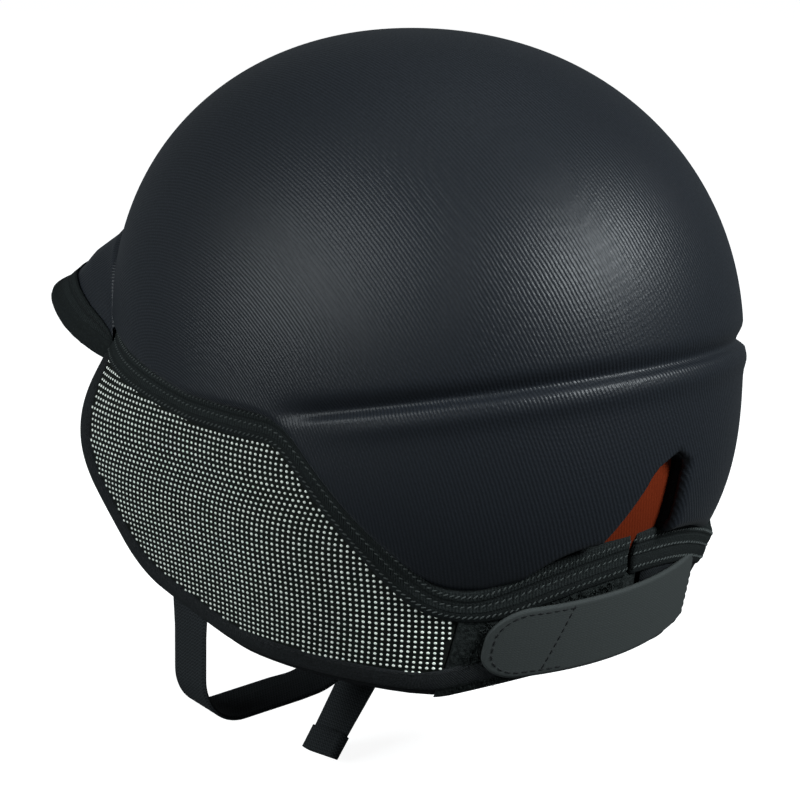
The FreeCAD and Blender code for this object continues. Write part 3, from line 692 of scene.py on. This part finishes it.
def rim_heights(turns):
    z = np.full(len(turns), -10.0)
    for _ in range(40):
        z = 0.6 * z + 0.4 * rim(HALF_LENGTH * shell_share(z, RISE) * np.sin(turns))
    return z - BACK_DROP * smooth((np.sin(turns) - 0.76) / 0.16)


def groove_share(y):
    return smooth((y - 26) / 26)


def groove_away(turn, z):
    y = HALF_LENGTH * shell_share(z, RISE) * np.sin(turn)
    return z - (GROOVE_HEIGHT + GROOVE_RISE * y), y


def groove_inset(turn, z):
    away, y = groove_away(turn, z)
    above = GROOVE_DEEP * smooth(1 - away / 8.0) ** 1.4
    lip = GROOVE_LIP * smooth((y - 30) / 60) * np.exp(-((away + 6.0) / 3.6) ** 2)
    under = GROOVE_DEEP * smooth(1 + away / 2.4) - lip
    return groove_share(y) * np.where(away > 0, above, under)


def column_levels(turn, foot, rows, detail):
    """Levels from 0 to 1 up a column, closer together at its foot and at the groove."""
    t = np.linspace(0, 1, 400)
    z = profile_height(t, foot)
    away, y = groove_away(turn, z)
    at_groove = 2.2 * groove_share(y) * np.exp(-(away / 6.0) ** 2)
    density = 1 + detail * (at_groove + 3.0 * np.exp(-((z - foot) / 4.0) ** 2))
    total = np.concatenate([[0], np.cumsum((density[1:] + density[:-1]) / 2)])
    return np.interp(np.linspace(0, total[-1], rows), total, t)


def profile_height(level, foot):
    """Height at a level up a column, evenly spaced along the shell."""
    below = np.maximum(-foot, 0)
    rise_run = 1.32 * RISE
    run = level * (below + rise_run) - below
    turn = np.clip(run / rise_run, 0, 1) * math.pi / 2
    up = RISE * np.sin(turn) ** (2 / CROWN_POWER)
    lifted = np.where(foot > 0, foot + (RISE - foot) * (up / RISE), up)
    return np.where(run < 0, run, lifted)


def shell_layer(name, count, rows, crowd, detail, outside, inside, material):
    """A closed layer of the shell between two insets, open at the slit and closed above it."""
    turns = shell_columns(count, crowd)
    feet = rim_heights(turns)
    levels = np.stack([column_levels(t, f, rows, detail) for t, f in zip(turns, feet)])
    heights = profile_height(levels, feet[:, None])
    turn = turns[:, None]
    half = slit_half(heights)
    from_slit = np.abs(HALF_WIDTH * shell_share(heights, RISE) * np.cos(turn)) * (1 - half / SLIT_DRAW)
    at_slit = np.where((half > 0) & (np.sin(turn) > 0), edge_fall(from_slit, 3.0), 0)
    at_rim = edge_fall(heights - feet[:, None], EDGE_ROLL)
    outer = shell_point(turn, heights, outside(turn, heights) + np.maximum(at_slit, at_rim))
    inner = shell_point(turn, heights, inside(turn, heights, feet[:, None]))
    index = np.arange(count * rows).reshape(count, rows)
    open_row = half[0] > 0
    index[-1] = np.where(open_row, index[-1], index[0])
    offset = count * rows
    crown = rows - 1
    index[:, crown] = index[0, crown]
    faces = []
    for block in (index, index + offset):
        for q in quads(block):
            corners = list(dict.fromkeys(q.tolist()))
            if len(corners) > 2:
                faces.append(corners)
    for i in range(count - 1):
        faces.append([index[i, 0], index[i + 1, 0], index[i + 1, 0] + offset, index[i, 0] + offset])
    for j in range(rows - 1):
        if open_row[j]:
            for i in (0, count - 1):
                loop = [index[i, j], index[i, j + 1], index[i, j + 1] + offset, index[i, j] + offset]
                faces.append(loop)
    made = make_object(name, np.concatenate([outer.reshape(-1, 3), inner.reshape(-1, 3)]), faces, material)
    work = bmesh.new()
    work.from_mesh(made.data)
    loose = [v for v in work.verts if not v.link_faces]
    bmesh.ops.delete(work, geom=loose, context="VERTS")
    bmesh.ops.recalc_face_normals(work, faces=work.faces)
    work.to_mesh(made.data)
    work.free()
    return made


def finished(piece, body, nodes=()):
    if body:
        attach(piece, body)
    if nodes:
        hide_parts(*nodes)
    return piece


def slit_lining():
    """The red lining swells into the slit from inside."""
    z = np.linspace(-19.0, -66.0, 30)[None, :]
    across = np.linspace(-1, 1, 25)[:, None]
    half = np.maximum(slit_half(np.minimum(z, SLIT_TOP - 1.0)), 4.0) + 2.0
    x = slit_middle(z) + across * half
    sheets = []
    for inset in SLIT_LINING_IN:
        share = shell_share(z, RISE)
        wide, long = (HALF_WIDTH - inset) * share, (HALF_LENGTH - inset) * share
        y = long * np.sqrt(1 - (x / wide) ** 2)
        sheets.append(np.stack([x, y, z + 0 * x], -1))
    swell = 1.6 * np.abs(across) ** 2 + 0 * z
    sheets[0][..., 1] -= swell
    finished(thick("slit_lining", *sheets, RED_LINING), "shell", ())


def build_shell():
    def cover_inside(turn, z, feet):
        turned_in = 7.0 * smooth(1 - (z - feet) / 5.0)
        return groove_inset(turn, z) + COVER_THICK + turned_in + 2.5 * (slit_half(z) > 0)
    cover = shell_layer("cover", 401, 108, 0.55, 1.0, groove_inset, cover_inside, COVER)
    finished(cover, "shell", ["outer_cover"])
    foam = shell_layer("foam", 201, 60, 0.6, 0.6, lambda t, z: groove_inset(t, z) + COVER_THICK + 0.2,
                       lambda t, z, f: FOAM_IN + 0 * z * t, FOAM)
    finished(foam, "shell", ["foam_shell"])
    liner = shell_layer("liner", 201, 60, 0.6, 0.3, lambda t, z: FOAM_IN + 0.05 + 0 * z * t,
                        lambda t, z, f: LINER_IN + 0 * z * t, RED_LINING)
    finished(liner, "shell", ["inner_liner"])
    slit_lining()


build_shell()


# ---- skirt ----
SIDES = {"left": 1.0, "right": -1.0}
NAPE_X = 58.5
TAPE_ENDS = {"left": 7.2, "right": -5.6}   # where each tape stops, measured towards its own side
BACK_GAP = 1.5


def back_turn(x, z):
    """The turn of a point on the back of the skirt at that distance left of the middle."""
    wide, long = HALF_WIDTH - skirt_sides(z), HALF_LENGTH - skirt_behind(z)
    return np.arctan2(long * np.sqrt(np.maximum(1 - (x / wide) ** 2, 0)), x)


def as_turns(points):
    return np.stack([skirt_turn(points[:, 0], points[:, 1]), points[:, 1]], -1)


def upright(x, z0, z1, count):
    z = np.linspace(z0, z1, count)
    return np.stack([back_turn(x, z), z], -1)


def back_height(line, x):
    z = -60.0
    for _ in range(30):
        z = 0.5 * z + 0.5 * float(line(np.sin(back_turn(x, z)) * skirt_radius(back_turn(x, z), z, 0)))
    return z


def flap_line(lift, shift, y_end):
    """The flap's outline, lifted and moved, from the tape at the front to y_end at the back."""
    points = rounded([(y, z + lift) for y, z in FLAP_LINE], FLAP_RADII, shift)
    inside = (points[:, 1] < tape_foot(points[:, 0]) + 1.0) & (points[:, 0] < y_end)
    return points[inside]


def turned(outer, inner, side):
    flip = np.array([side, 1.0, 1.0])
    return outer * flip, inner * flip


def skirt_piece(name, grid, outside, inside, material, side=1.0, roll=0.8, backing=None):
    """A closed cloth piece on the skirt. outside may be a number or vary over the grid."""
    turn, z = grid[..., 0], grid[..., 1]
    fall = edge_fall(border_distance(skirt_point(turn, z, 0.0)), roll)
    out_inset = outside + fall
    outer = skirt_point(turn, z, out_inset)
    inner = skirt_point(turn, z, np.maximum(inside, out_inset + 0.15))
    return thick(name, *turned(outer, inner, side), material, backing), outer * np.array([side, 1.0, 1.0])


def ribbon_grid(first, second, count, across):
    """A strip between two lines of turns and heights, evenly spaced along them."""
    a, b = resampled(first, count), resampled(second, count)
    t = eased(across, 2.2)[None, :, None]
    return mixed(a[:, None], b[:, None], t)


def folding(piece, nodes):
    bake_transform(piece)
    if nodes:
        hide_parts(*nodes)
    return piece


FRONT_TURN = float(skirt_turn(np.array(-88.5), np.array(1.0)))


def tape_grid(turns):
    high, low = on_skirt(rim, turns), on_skirt(tape_foot, turns)
    t = eased(17, 1.6)[None, :]
    return np.stack([turns[:, None] + 0 * t, mixed(high[:, None] + 1.2, low[:, None], t)], -1)


def tape_swell(grid):
    """Two padded bands side by side along the tape."""
    return -0.5 * np.abs(np.sin(2 * math.pi * eased(grid.shape[1], 1.6)))[None, :]


def tape_stitches(name, outer, body):
    """Three rows of slanting stitches along the tape."""
    normals = grid_normals(outer)
    place, along, out = [], [], []
    for share, lean, pitch in ((0.22, 0.7, 2.0), (0.5, 0.5, 2.3), (0.78, 0.7, 2.0)):
        k = int(round(share * (outer.shape[1] - 1)))
        p, a, o = along_line(outer[:, k], normals[:, k], pitch, 1.0)
        side = np.cross(o, a)
        place.append(p + o * 0.05)
        along.append(a + side * lean)
        out.append(o)
    place, along, out = (np.concatenate(v) for v in (place, along, out))
    made = copies(name, place, along, out, (1.7, 0.5, 0.4), PALE_THREAD, 0.25)
    return finished(made, body, ())


def nape_swell(grid):
    """The right side of the nape stands out further than the left."""
    turn, z = grid[..., 0], grid[..., 1]
    fade = mixed(1.0, -0.9, smooth((-z - 66) / 34))
    return -NAPE_SWELL * smooth((1.42 - turn) / 0.45) * smooth((turn - 0.2) / 0.5) * fade


def build_tapes():
    across_front = np.linspace(-math.pi - FRONT_TURN, FRONT_TURN, 180)
    grid = tape_grid(across_front)
    piece, outer = skirt_piece("tape_front", grid, tape_swell(grid), TAPE_THICK, TAPE, 1.0, 1.1)
    finished(piece, "shell", ["front_binding"])
    tape_stitches("tape_front_stitches", outer, "shell")
    for name, side in SIDES.items():
        end = float(back_turn(TAPE_ENDS[name], back_height(rim, TAPE_ENDS[name])))
        turns = np.linspace(FRONT_TURN + 0.001, end, 300)
        grid = tape_grid(turns)
        bulge = nape_swell(grid) if side < 0 else 0.0
        swell = tape_swell(grid) + bulge
        piece, outer = skirt_piece("tape_" + name, grid, swell, TAPE_THICK, TAPE, side, 1.1)
        finished(piece, "shell", [name + "_rim_binding"])
        tape_stitches("tape_" + name + "_stitches", outer, "shell")


def split_line(line, at):
    """The part of a line above height at, and the part after it."""
    cut = int(np.argmax(line[:, 1] < at))
    return line[:cut + 1], line[cut:]


def edge_region(lift, shift, top_line, top_lift, rear_x, columns, rows):
    """A flap region bounded by the tape above and the flap's outline in front and below."""
    rear_low = back_height(flap_foot, rear_x) + lift
    y_end = math.sqrt(1 - (rear_x / (HALF_WIDTH - skirt_sides(rear_low))) ** 2)
    y_end *= HALF_LENGTH - float(skirt_behind(rear_low))
    edge = flap_line(lift, shift, y_end)
    front, under = split_line(edge, -66.0)
    start_turn = float(skirt_turn(front[0, 0], front[0, 1]))
    rear_high = back_height(top_line, rear_x)
    end_turn = float(back_turn(rear_x, rear_high))
    turns = np.linspace(start_turn, end_turn, 200)
    top = np.stack([turns, on_skirt(top_line, turns) + top_lift], -1)
    first = as_turns(front)
    first[0] = top[0]
    bottom = as_turns(under)
    last = upright(rear_x, rear_high + top_lift, bottom[-1, 1], 60)
    bottom[-1] = last[-1]
    top, bottom = resampled(top, columns), resampled(bottom, columns)
    return coons(top, bottom, resampled(first, rows), resampled(last, rows))


def dots_on(name, side, grid, inset):
    """Round studs in level rows, every other row moved along by half a step, wherever the mesh is."""
    turns, heights = grid[..., 0], grid[..., 1]
    place, along, out = [], [], []
    rows = np.arange(math.ceil(heights.min() / DOT_ROW), math.floor(heights.max() / DOT_ROW) + 1)
    outline = np.concatenate([grid[:, 0], grid[-1], grid[::-1, -1], grid[0, ::-1]])
    for row in rows:
        z = row * DOT_ROW
        crossings = []
        for (t0, z0), (t1, z1) in zip(outline, np.roll(outline, -1, axis=0)):
            if (z0 > z) != (z1 > z):
                crossings.append(t0 + (t1 - t0) * (z - z0) / (z1 - z0))
        crossings.sort()
        level = np.linspace(-1.6, 1.7, 1400)
        run = lengths(skirt_point(level, np.full(len(level), z), inset))
        for t0, t1 in zip(crossings[::2], crossings[1::2]):
            a, b = np.interp([t0, t1], level, run)
            whole = np.arange(math.ceil((a + 0.6) / DOT_STEP), math.floor((b - 0.6) / DOT_STEP) + 1)
            at = (whole + 0.5 * (row % 2)) * DOT_STEP
            at = at[(at > a + 0.5) & (at < b - 0.5)]
            t = np.interp(at, run, level)
            p = skirt_point(t, np.full(len(t), z), inset)
            tangent = skirt_point(t + 0.002, np.full(len(t), z), inset) - p
            lift = skirt_point(t, np.full(len(t), z + 0.5), inset) - p
            normal = np.cross(tangent, lift)
            place.append(p)
            along.append(tangent)
            out.append(normal)
    place, along, out = (np.concatenate(v) for v in (place, along, out))
    out /= np.linalg.norm(out, axis=1)[:, None]
    along /= np.linalg.norm(along, axis=1)[:, None]
    flip = np.array([side, 1.0, 1.0])
    return copies(name, place * flip, along * flip, out * flip, (1.08, 0.92, 0.5), STUDS, 0.2, 3)


def build_ears():
    for name, side in SIDES.items():
        grid = edge_region(LINING_SHOWS, -EDGE_WIDTH, tape_foot, 1.0, NAPE_X, 150, 64)
        mesh, _ = skirt_piece("ear_mesh_" + name, grid, MESH_SUNK, MESH_SUNK + 0.8, MESH_CLOTH, side, 0.1)
        mesh_nodes = [name + "_ear_mesh", name + "_corner_mesh"]
        folding(mesh, mesh_nodes)
        dots = dots_on("mesh_dots_" + name, side, grid, MESH_SUNK - 0.02)
        folding(dots, [])
        y_end = 96.0
        outer_line = as_turns(flap_line(LINING_SHOWS, 0.6, y_end))
        inner_line = as_turns(flap_line(LINING_SHOWS, -EDGE_WIDTH - 0.3, y_end))
        grid = ribbon_grid(outer_line, inner_line, 260, 9)
        swell = -0.55 * np.sin(math.pi * eased(9, 2.2))[None, :]
        edging, outer = skirt_piece("flap_edging_" + name, grid, swell, TAPE_THICK, EDGING, side, 0.9)
        folding(edging, [name + "_flap_binding", name + "_corner_binding"])
        normals = grid_normals(outer)
        p, a, o = along_line(outer[:, 6], normals[:, 6], 3.0, 1.0)
        rows = copies("flap_edging_stitches_" + name, p, a, o, (2.0, 0.4, 0.3), THREAD, 0.1)
        folding(rows, [])
        grid = edge_region(0.0, 0.0, rim, 0.0, BACK_GAP, 150, 64)
        pad, _ = skirt_piece("ear_pad_" + name, grid, TAPE_THICK + 0.1, PADDING_IN, PAD, side, 1.8,
                             RED_LINING)
        folding(pad, [name + "_ear_padding", name + "_corner_padding"])


def nape_grid(columns, rows, top_lift):
    first_low, last_low = back_height(flap_foot, NAPE_X), back_height(flap_foot, BACK_GAP)
    first_high, last_high = back_height(tape_foot, NAPE_X), back_height(tape_foot, BACK_GAP)
    first = upright(NAPE_X, first_high + top_lift, first_low, rows)
    last = upright(BACK_GAP, last_high + top_lift, last_low, rows)
    turns = np.linspace(first[0, 0], last[0, 0], 120)
    top = np.stack([turns, on_skirt(tape_foot, turns) + top_lift], -1)
    turns = np.linspace(first[-1, 0], last[-1, 0], 120)
    bottom = np.stack([turns, on_skirt(flap_foot, turns)], -1)
    top[0], top[-1], bottom[0], bottom[-1] = first[0], last[0], first[-1], last[-1]
    top, bottom = resampled(top, columns), resampled(bottom, columns)
    return coons(top, bottom, resampled(first, rows), resampled(last, rows))


def build_nape():
    grid = nape_grid(70, 40, 1.0)
    loop, outer = skirt_piece("loop_panel", grid, MESH_SUNK, TAPE_THICK, LOOP, 1.0, 0.7)
    finished(loop, "shell", ["left_loop_panel"])
    sunk = MESH_SUNK + nape_swell(grid)
    nape, _ = skirt_piece("nape_panel", grid, sunk, TAPE_THICK, NAPE_CLOTH, -1.0, 0.7)
    finished(nape, "shell", ["right_nape_panel"])
    rng = np.random.default_rng(5)
    normals = grid_normals(outer).reshape(-1, 3)
    points = outer.reshape(-1, 3)
    inner = np.arange(len(points)).reshape(outer.shape[:2])[4:-4, 4:-4].ravel()
    pick = inner[rng.integers(0, len(inner), 6000)]
    jitter = rng.normal(0, 0.7, (6000, 3))
    out = normals[pick] + rng.normal(0, 0.5, (6000, 3))
    along = rng.normal(0, 1.0, (6000, 3))
    level = jitter - normals[pick] * (jitter * normals[pick]).sum(1)[:, None]
    place = points[pick] + level + normals[pick] * 0.25
    pile = copies("loop_fibres", place, along, out, (1.6, 0.16, 0.4), LOOP, 0.5, 11)
    finished(pile, "shell", ())


# ---- fit tab ----
TAB_HALF = 13.0
TAB_SEWN, TAB_FREE, TAB_FOLD = -37.0, 51.0, -25.0
TAB_MIDDLE, TAB_DROP, TAB_CORNER = -82.5, 0.085, 11.0
TAB_THICK = 1.6
TAB_GAP = 0.3
TAB_CROSS = (27.0, 34.0)     # where its cross seam starts at the top and ends at the bottom


def tab_half(x, margin):
    past = np.maximum(x - (TAB_FREE - TAB_CORNER), 0)
    corner = TAB_CORNER - margin
    return TAB_HALF - margin - (corner - np.sqrt(np.maximum(corner ** 2 - past ** 2, 0)))


def tab_places(x, t, margin=0.0):
    z = TAB_MIDDLE - TAB_DROP * x + t * tab_half(x, margin)
    return back_turn(x, z), z


def build_tab():
    s = np.linspace(0, 1, 90)
    x = mixed(TAB_SEWN, TAB_FREE, np.sin(s * math.pi / 2) ** 0.9)[:, None]
    turn, z = tab_places(x, np.linspace(1, -1, 32)[None, :])
    grid = np.stack([turn, z], -1)
    outside = -TAB_GAP - TAB_THICK
    piece, outer = skirt_piece("fit_tab", grid, outside, -TAB_GAP, TAB, 1.0, 0.7)
    y = (HALF_LENGTH - float(skirt_behind(TAB_MIDDLE))) * MM
    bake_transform(piece)
    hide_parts("fit_tab", "fit_tab_root")
    xs = np.linspace(TAB_FREE - 30.0, TAB_FREE - 2.5, 30)[:, None]
    turn, z = tab_places(xs, np.linspace(1, -1, 16)[None, :], 2.5)
    hook, _ = skirt_piece("tab_hooks", np.stack([turn, z], -1), -TAB_GAP + 0.02, 0.3, HOOKS, 1.0, 0.1)
    finished(hook, "tab", ["fit_tab_hook"])

    def row(xs, ts, margin):
        turn, z = tab_places(xs, ts, margin)
        return skirt_point(turn, z, outside - 0.02)
    xs = np.linspace(TAB_CROSS[0], TAB_FREE - 2.2, 200)
    border = np.concatenate([row(xs, 1.0, 2.2), row(xs[::-1], -1.0, 2.2)])
    cross = row(mixed(*TAB_CROSS, np.linspace(0, 1, 40)), np.linspace(0.86, -0.86, 40), 0.0)
    sewn = row(np.full(40, TAB_SEWN + 2.5), np.linspace(0.9, -0.9, 40), 0.0)
    for label, line, body in (("border", border, "tab"), ("cross", cross, "tab"), ("sewn", sewn, "shell")):
        outward = line * np.array([0.6, 1.0, 0.0])
        p, a, o = along_line(line, outward, 2.9, 0.5)
        rows = copies("tab_stitches_" + label, p, a, o, (2.2, 0.6, 0.4), THREAD, 0.1)
        finished(rows, body, ())


# ---- brim ----
BRIM_HALF_ANGLE = math.radians(42.0)
BRIM_REACH = 38.0
BRIM_TOP_PROFILE = [(0.0, 31.0), (0.1, 27.6), (0.3, 22.6), (0.42, 19.6), (0.57, 13.8), (0.72, 9.0),
                    (0.87, 5.2), (0.97, 3.9)]
BRIM_EDGE_LOW = -1.0


def brim_section(share):
    """The outline of the brim at one angle: distance out from the shell, and height."""
    reach = BRIM_REACH * (1 - abs(share) ** 3) + 0.3
    turn = BRIM_HALF_ANGLE * share
    shell = 1 / math.hypot(math.sin(turn) / HALF_WIDTH, math.cos(turn) / HALF_LENGTH)
    drop = 11.5 * min(max((abs(share) - 0.67) / 0.31, 0.0), 1.0)
    low = BRIM_EDGE_LOW - drop
    small = reach / BRIM_REACH
    top = [(f * reach, mixed(low + 5.0, h, small ** 0.35)) for f, h in BRIM_TOP_PROFILE]
    top = [(d, max(h - drop * (d / max(reach, 1)), low + 4.6)) for d, h in top]
    edge = [(reach * 0.995, low + 3.0), (reach * 0.995, low + 1.3), (reach * 0.965, low + 0.1)]
    under = [(reach * f, low) for f in (0.85, 0.6, 0.35, 0.1)] + [(-6.0, low + 1.0)]
    over = resampled(np.array([(-5.0, top[0][1] + 1.5)] + top), 40)
    return turn, shell, over, np.array([top[-1]] + edge + under)


def brim_surface():
    tops, unders = [], []
    for share in np.linspace(-1, 1, 121):
        turn, shell, top, under = brim_section(share)
        for line, store in ((top, tops), (resampled(under, 40), unders)):
            r = shell + line[:, 0]
            store.append(np.stack([r * math.sin(turn), -r * math.cos(turn), line[:, 1]], -1))
    return np.array(tops), np.array(unders)


def build_brim():
    tops, unders = brim_surface()
    down = np.array([0, 0, -1.0])
    top = thick("brim_top", tops, tops + down * 1.4, COVER)
    finished(top, "shell", ["brim_cover", "brim_core"])
    lining = thick("brim_under", unders[:, 6:], unders[:, 6:] - down * 1.2, LINING_CLOTH)
    finished(lining, "shell", ["brim_lining"])
    wrap = np.concatenate([tops[:, 28:], unders[:, 1:24]], axis=1)
    middle = wrap.mean(axis=1, keepdims=True) * np.array([0.96, 0.96, 1.0])
    away = wrap - middle
    away /= np.linalg.norm(away, axis=2)[..., None]
    outer = wrap + away * 0.9
    tape = thick("brim_tape", outer, wrap - away * 0.6, TAPE)
    finished(tape, "shell", ["brim_binding"])
    place, along, out = [], [], []
    for k in (3, outer.shape[1] - 4):
        p, a, o = along_line(outer[:, k], away[:, k], 2.4, 1.0)
        place.append(p)
        along.append(a)
        out.append(o)
    rows = copies("brim_tape_stitches", np.concatenate(place), np.concatenate(along), np.concatenate(out),
                  (2.0, 0.45, 0.35), THREAD, 0.1)
    finished(rows, "shell", ())


# ---- chin strap ----
def web_surface(path, roll, width, thickness):
    """Webbing along a path of (x, z), turned about its own line by roll degrees at each point."""
    points = np.stack([path[:, 0], np.full(len(path), STRAP_Y), path[:, 1]], -1)
    along = np.gradient(points, axis=0)
    along /= np.linalg.norm(along, axis=1)[:, None]
    level = np.array([0.0, 1.0, 0.0])
    normal = np.cross(along, level)
    normal /= np.linalg.norm(normal, axis=1)[:, None]
    roll = np.radians(roll)[:, None]
    across = level * np.cos(roll) + normal * np.sin(roll)
    normal = normal * np.cos(roll) - level * np.sin(roll)
    t = eased(25, 2.0)[None, :, None]
    rib = 0.16 * np.abs(np.sin(t * math.pi * 6)) - 0.16
    fall = edge_fall(np.minimum(t, 1 - t) * width, thickness * 0.5)
    half = thickness / 2 + rib - fall * 0.9
    middle = points[:, None] + across[:, None] * (t - 0.5) * width
    return middle + normal[:, None] * half, middle - normal[:, None] * half


def web(name, corners, radii, roll, width=STRAP_WIDTH, thickness=1.8):
    path = resampled(rounded(corners, radii), 240)
    roll = np.interp(np.linspace(0, 1, len(path)), *roll)
    return thick(name, *web_surface(path, roll, width, thickness), WEBBING), path


def build_straps():
    root, hang = STRAP_ROOT_X, STRAP_HANG_X
    down = [(root, 12.0), (root, -12.0), (hang, -94.0)]
    left_line = down + [(hang + 1.0, -140.0), (16.0, -139.0), (-3.0, BUCKLE_Z), (-16.0, BUCKLE_Z)]
    left_roll = ([0, 0.42, 0.5, 0.8, 0.92, 1], [0, 0, 7, 8, 0, 0])
    left, _ = web("strap_left", left_line, [30, 60, 17, 30, 16], left_roll)
    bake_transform(left)
    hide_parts("chin_strap_left")
    right_line = [(-x, z) for x, z in down] + [(-hang, BUCKLE_Z), (-65.0, BUCKLE_Z)]
    right, _ = web("strap_right", right_line, [30, 60, 6], ([0, 1], [0, 0]))
    finished(right, "shell", ["chin_strap_right"])
    tail_line = [(-33.0, -133.5), (-26.0, -133.5), (-20.0, -135.0), (-14.0, -136.0), (12.6, -169.0)]
    tail, path = web("strap_tail", tail_line, [2, 6, 9], ([0, 0.5, 0.75, 1], [0, 0, 5, 9]), 20.0, 1.8)
    finished(tail, "clip", ["strap_tail"])
    end = path[-1] - (path[-1] - path[-20]) / np.linalg.norm(path[-1] - path[-20]) * 9.0
    stop, _ = web("strap_end", [tuple(end), tuple(path[-1] + (path[-1] - path[-20]) * 0.05)], [],
                  ([0, 1], [8, 9]), 21.0, 4.8)
    finished(stop, "clip", ["strap_end_stop"])


build_tapes()
build_ears()
build_nape()
build_tab()
build_brim()
build_straps()
for hard in ("buckle_socket", "buckle_clip", "buckle_prong_front", "buckle_prong_rear", "left_strap_anchor",
             "right_strap_anchor"):
    node = bpy.data.objects.get(hard)
    for child in [node] + list(node.children_recursive) if node else []:
        if child.type == "MESH":
            child.data.materials.clear()
            child.data.materials.append(PLASTIC)


# ---- camera, light and floor ----
def light(name, direction, distance, size, power, colour=(1.0, 1.0, 1.0)):
    lamp = bpy.data.lights.new(name, "AREA")
    lamp.size = size
    lamp.energy = power
    lamp.color = colour
    holder = bpy.data.objects.new(name, lamp)
    holder.location = direction.normalized() * distance
    holder.rotation_mode = "QUATERNION"
    holder.rotation_quaternion = direction.to_track_quat("Z", "Y")
    scene.collection.objects.link(holder)
    return holder


def studio():
    right = Vector((-0.7218, 0.6921, 0))
    up = Vector((-0.1486, -0.1550, 0.9768))
    back = Vector((0.6760, 0.7050, 0.2147))
    lens = bpy.data.cameras.new("camera")
    lens.lens = 128.7
    lens.sensor_width = 36.0
    holder = bpy.data.objects.new("camera", lens)
    scene.collection.objects.link(holder)
    holder.location = back * 1.027
    look = -back * 2861 - right * 20.9 - up * 69.4
    holder.rotation_mode = "QUATERNION"
    holder.rotation_quaternion = look.to_track_quat("-Z", "Y")
    lens.clip_start = 0.05
    lens.clip_end = 100
    scene.camera = holder
    cool = (0.93, 1.0, 1.03)
    light("key", right * 0.69 + up * 0.43 + back * 0.55, 1.6, 0.45, 33.0, cool)
    light("fill", right * -1.2 + up * 0.35 + back * 0.8, 2.0, 1.4, 34.0, cool)
    light("top", up * 1.0 + back * 0.1, 2.0, 1.2, 3.0, cool)
    world = bpy.data.worlds.new("studio")
    world.use_nodes = True
    world.node_tree.nodes["Background"].inputs["Color"].default_value = (0.11, 0.122, 0.128, 1)
    scene.world = world
    scene.view_settings.view_transform = "Standard"
    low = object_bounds()[0].z
    mesh = bpy.data.meshes.new("floor")
    half = 12.0
    ring = [(-half, -half), (half, -half), (half, half), (-half, half)]
    corners = [(x, y, low) for x, y in ring] + [(x, y, low + 2 * half) for x, y in ring]
    walls = [(i, i + 4, (i + 1) % 4 + 4, (i + 1) % 4) for i in range(4)]
    mesh.from_pydata(corners, [], [(0, 1, 2, 3)] + walls)
    pale = Finish("pale_floor", (0.4, 0.4, 0.4), 0.9, 0.05)
    pale.set("Emission Color", (1.0, 1.0, 1.0, 1.0))
    pale.set("Emission Strength", 0.92)
    mesh.materials.append(pale.material)
    floor = bpy.data.objects.new("floor", mesh)
    scene.collection.objects.link(floor)
    floor.visible_diffuse = False
    floor.visible_glossy = False
    floor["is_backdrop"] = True


studio()
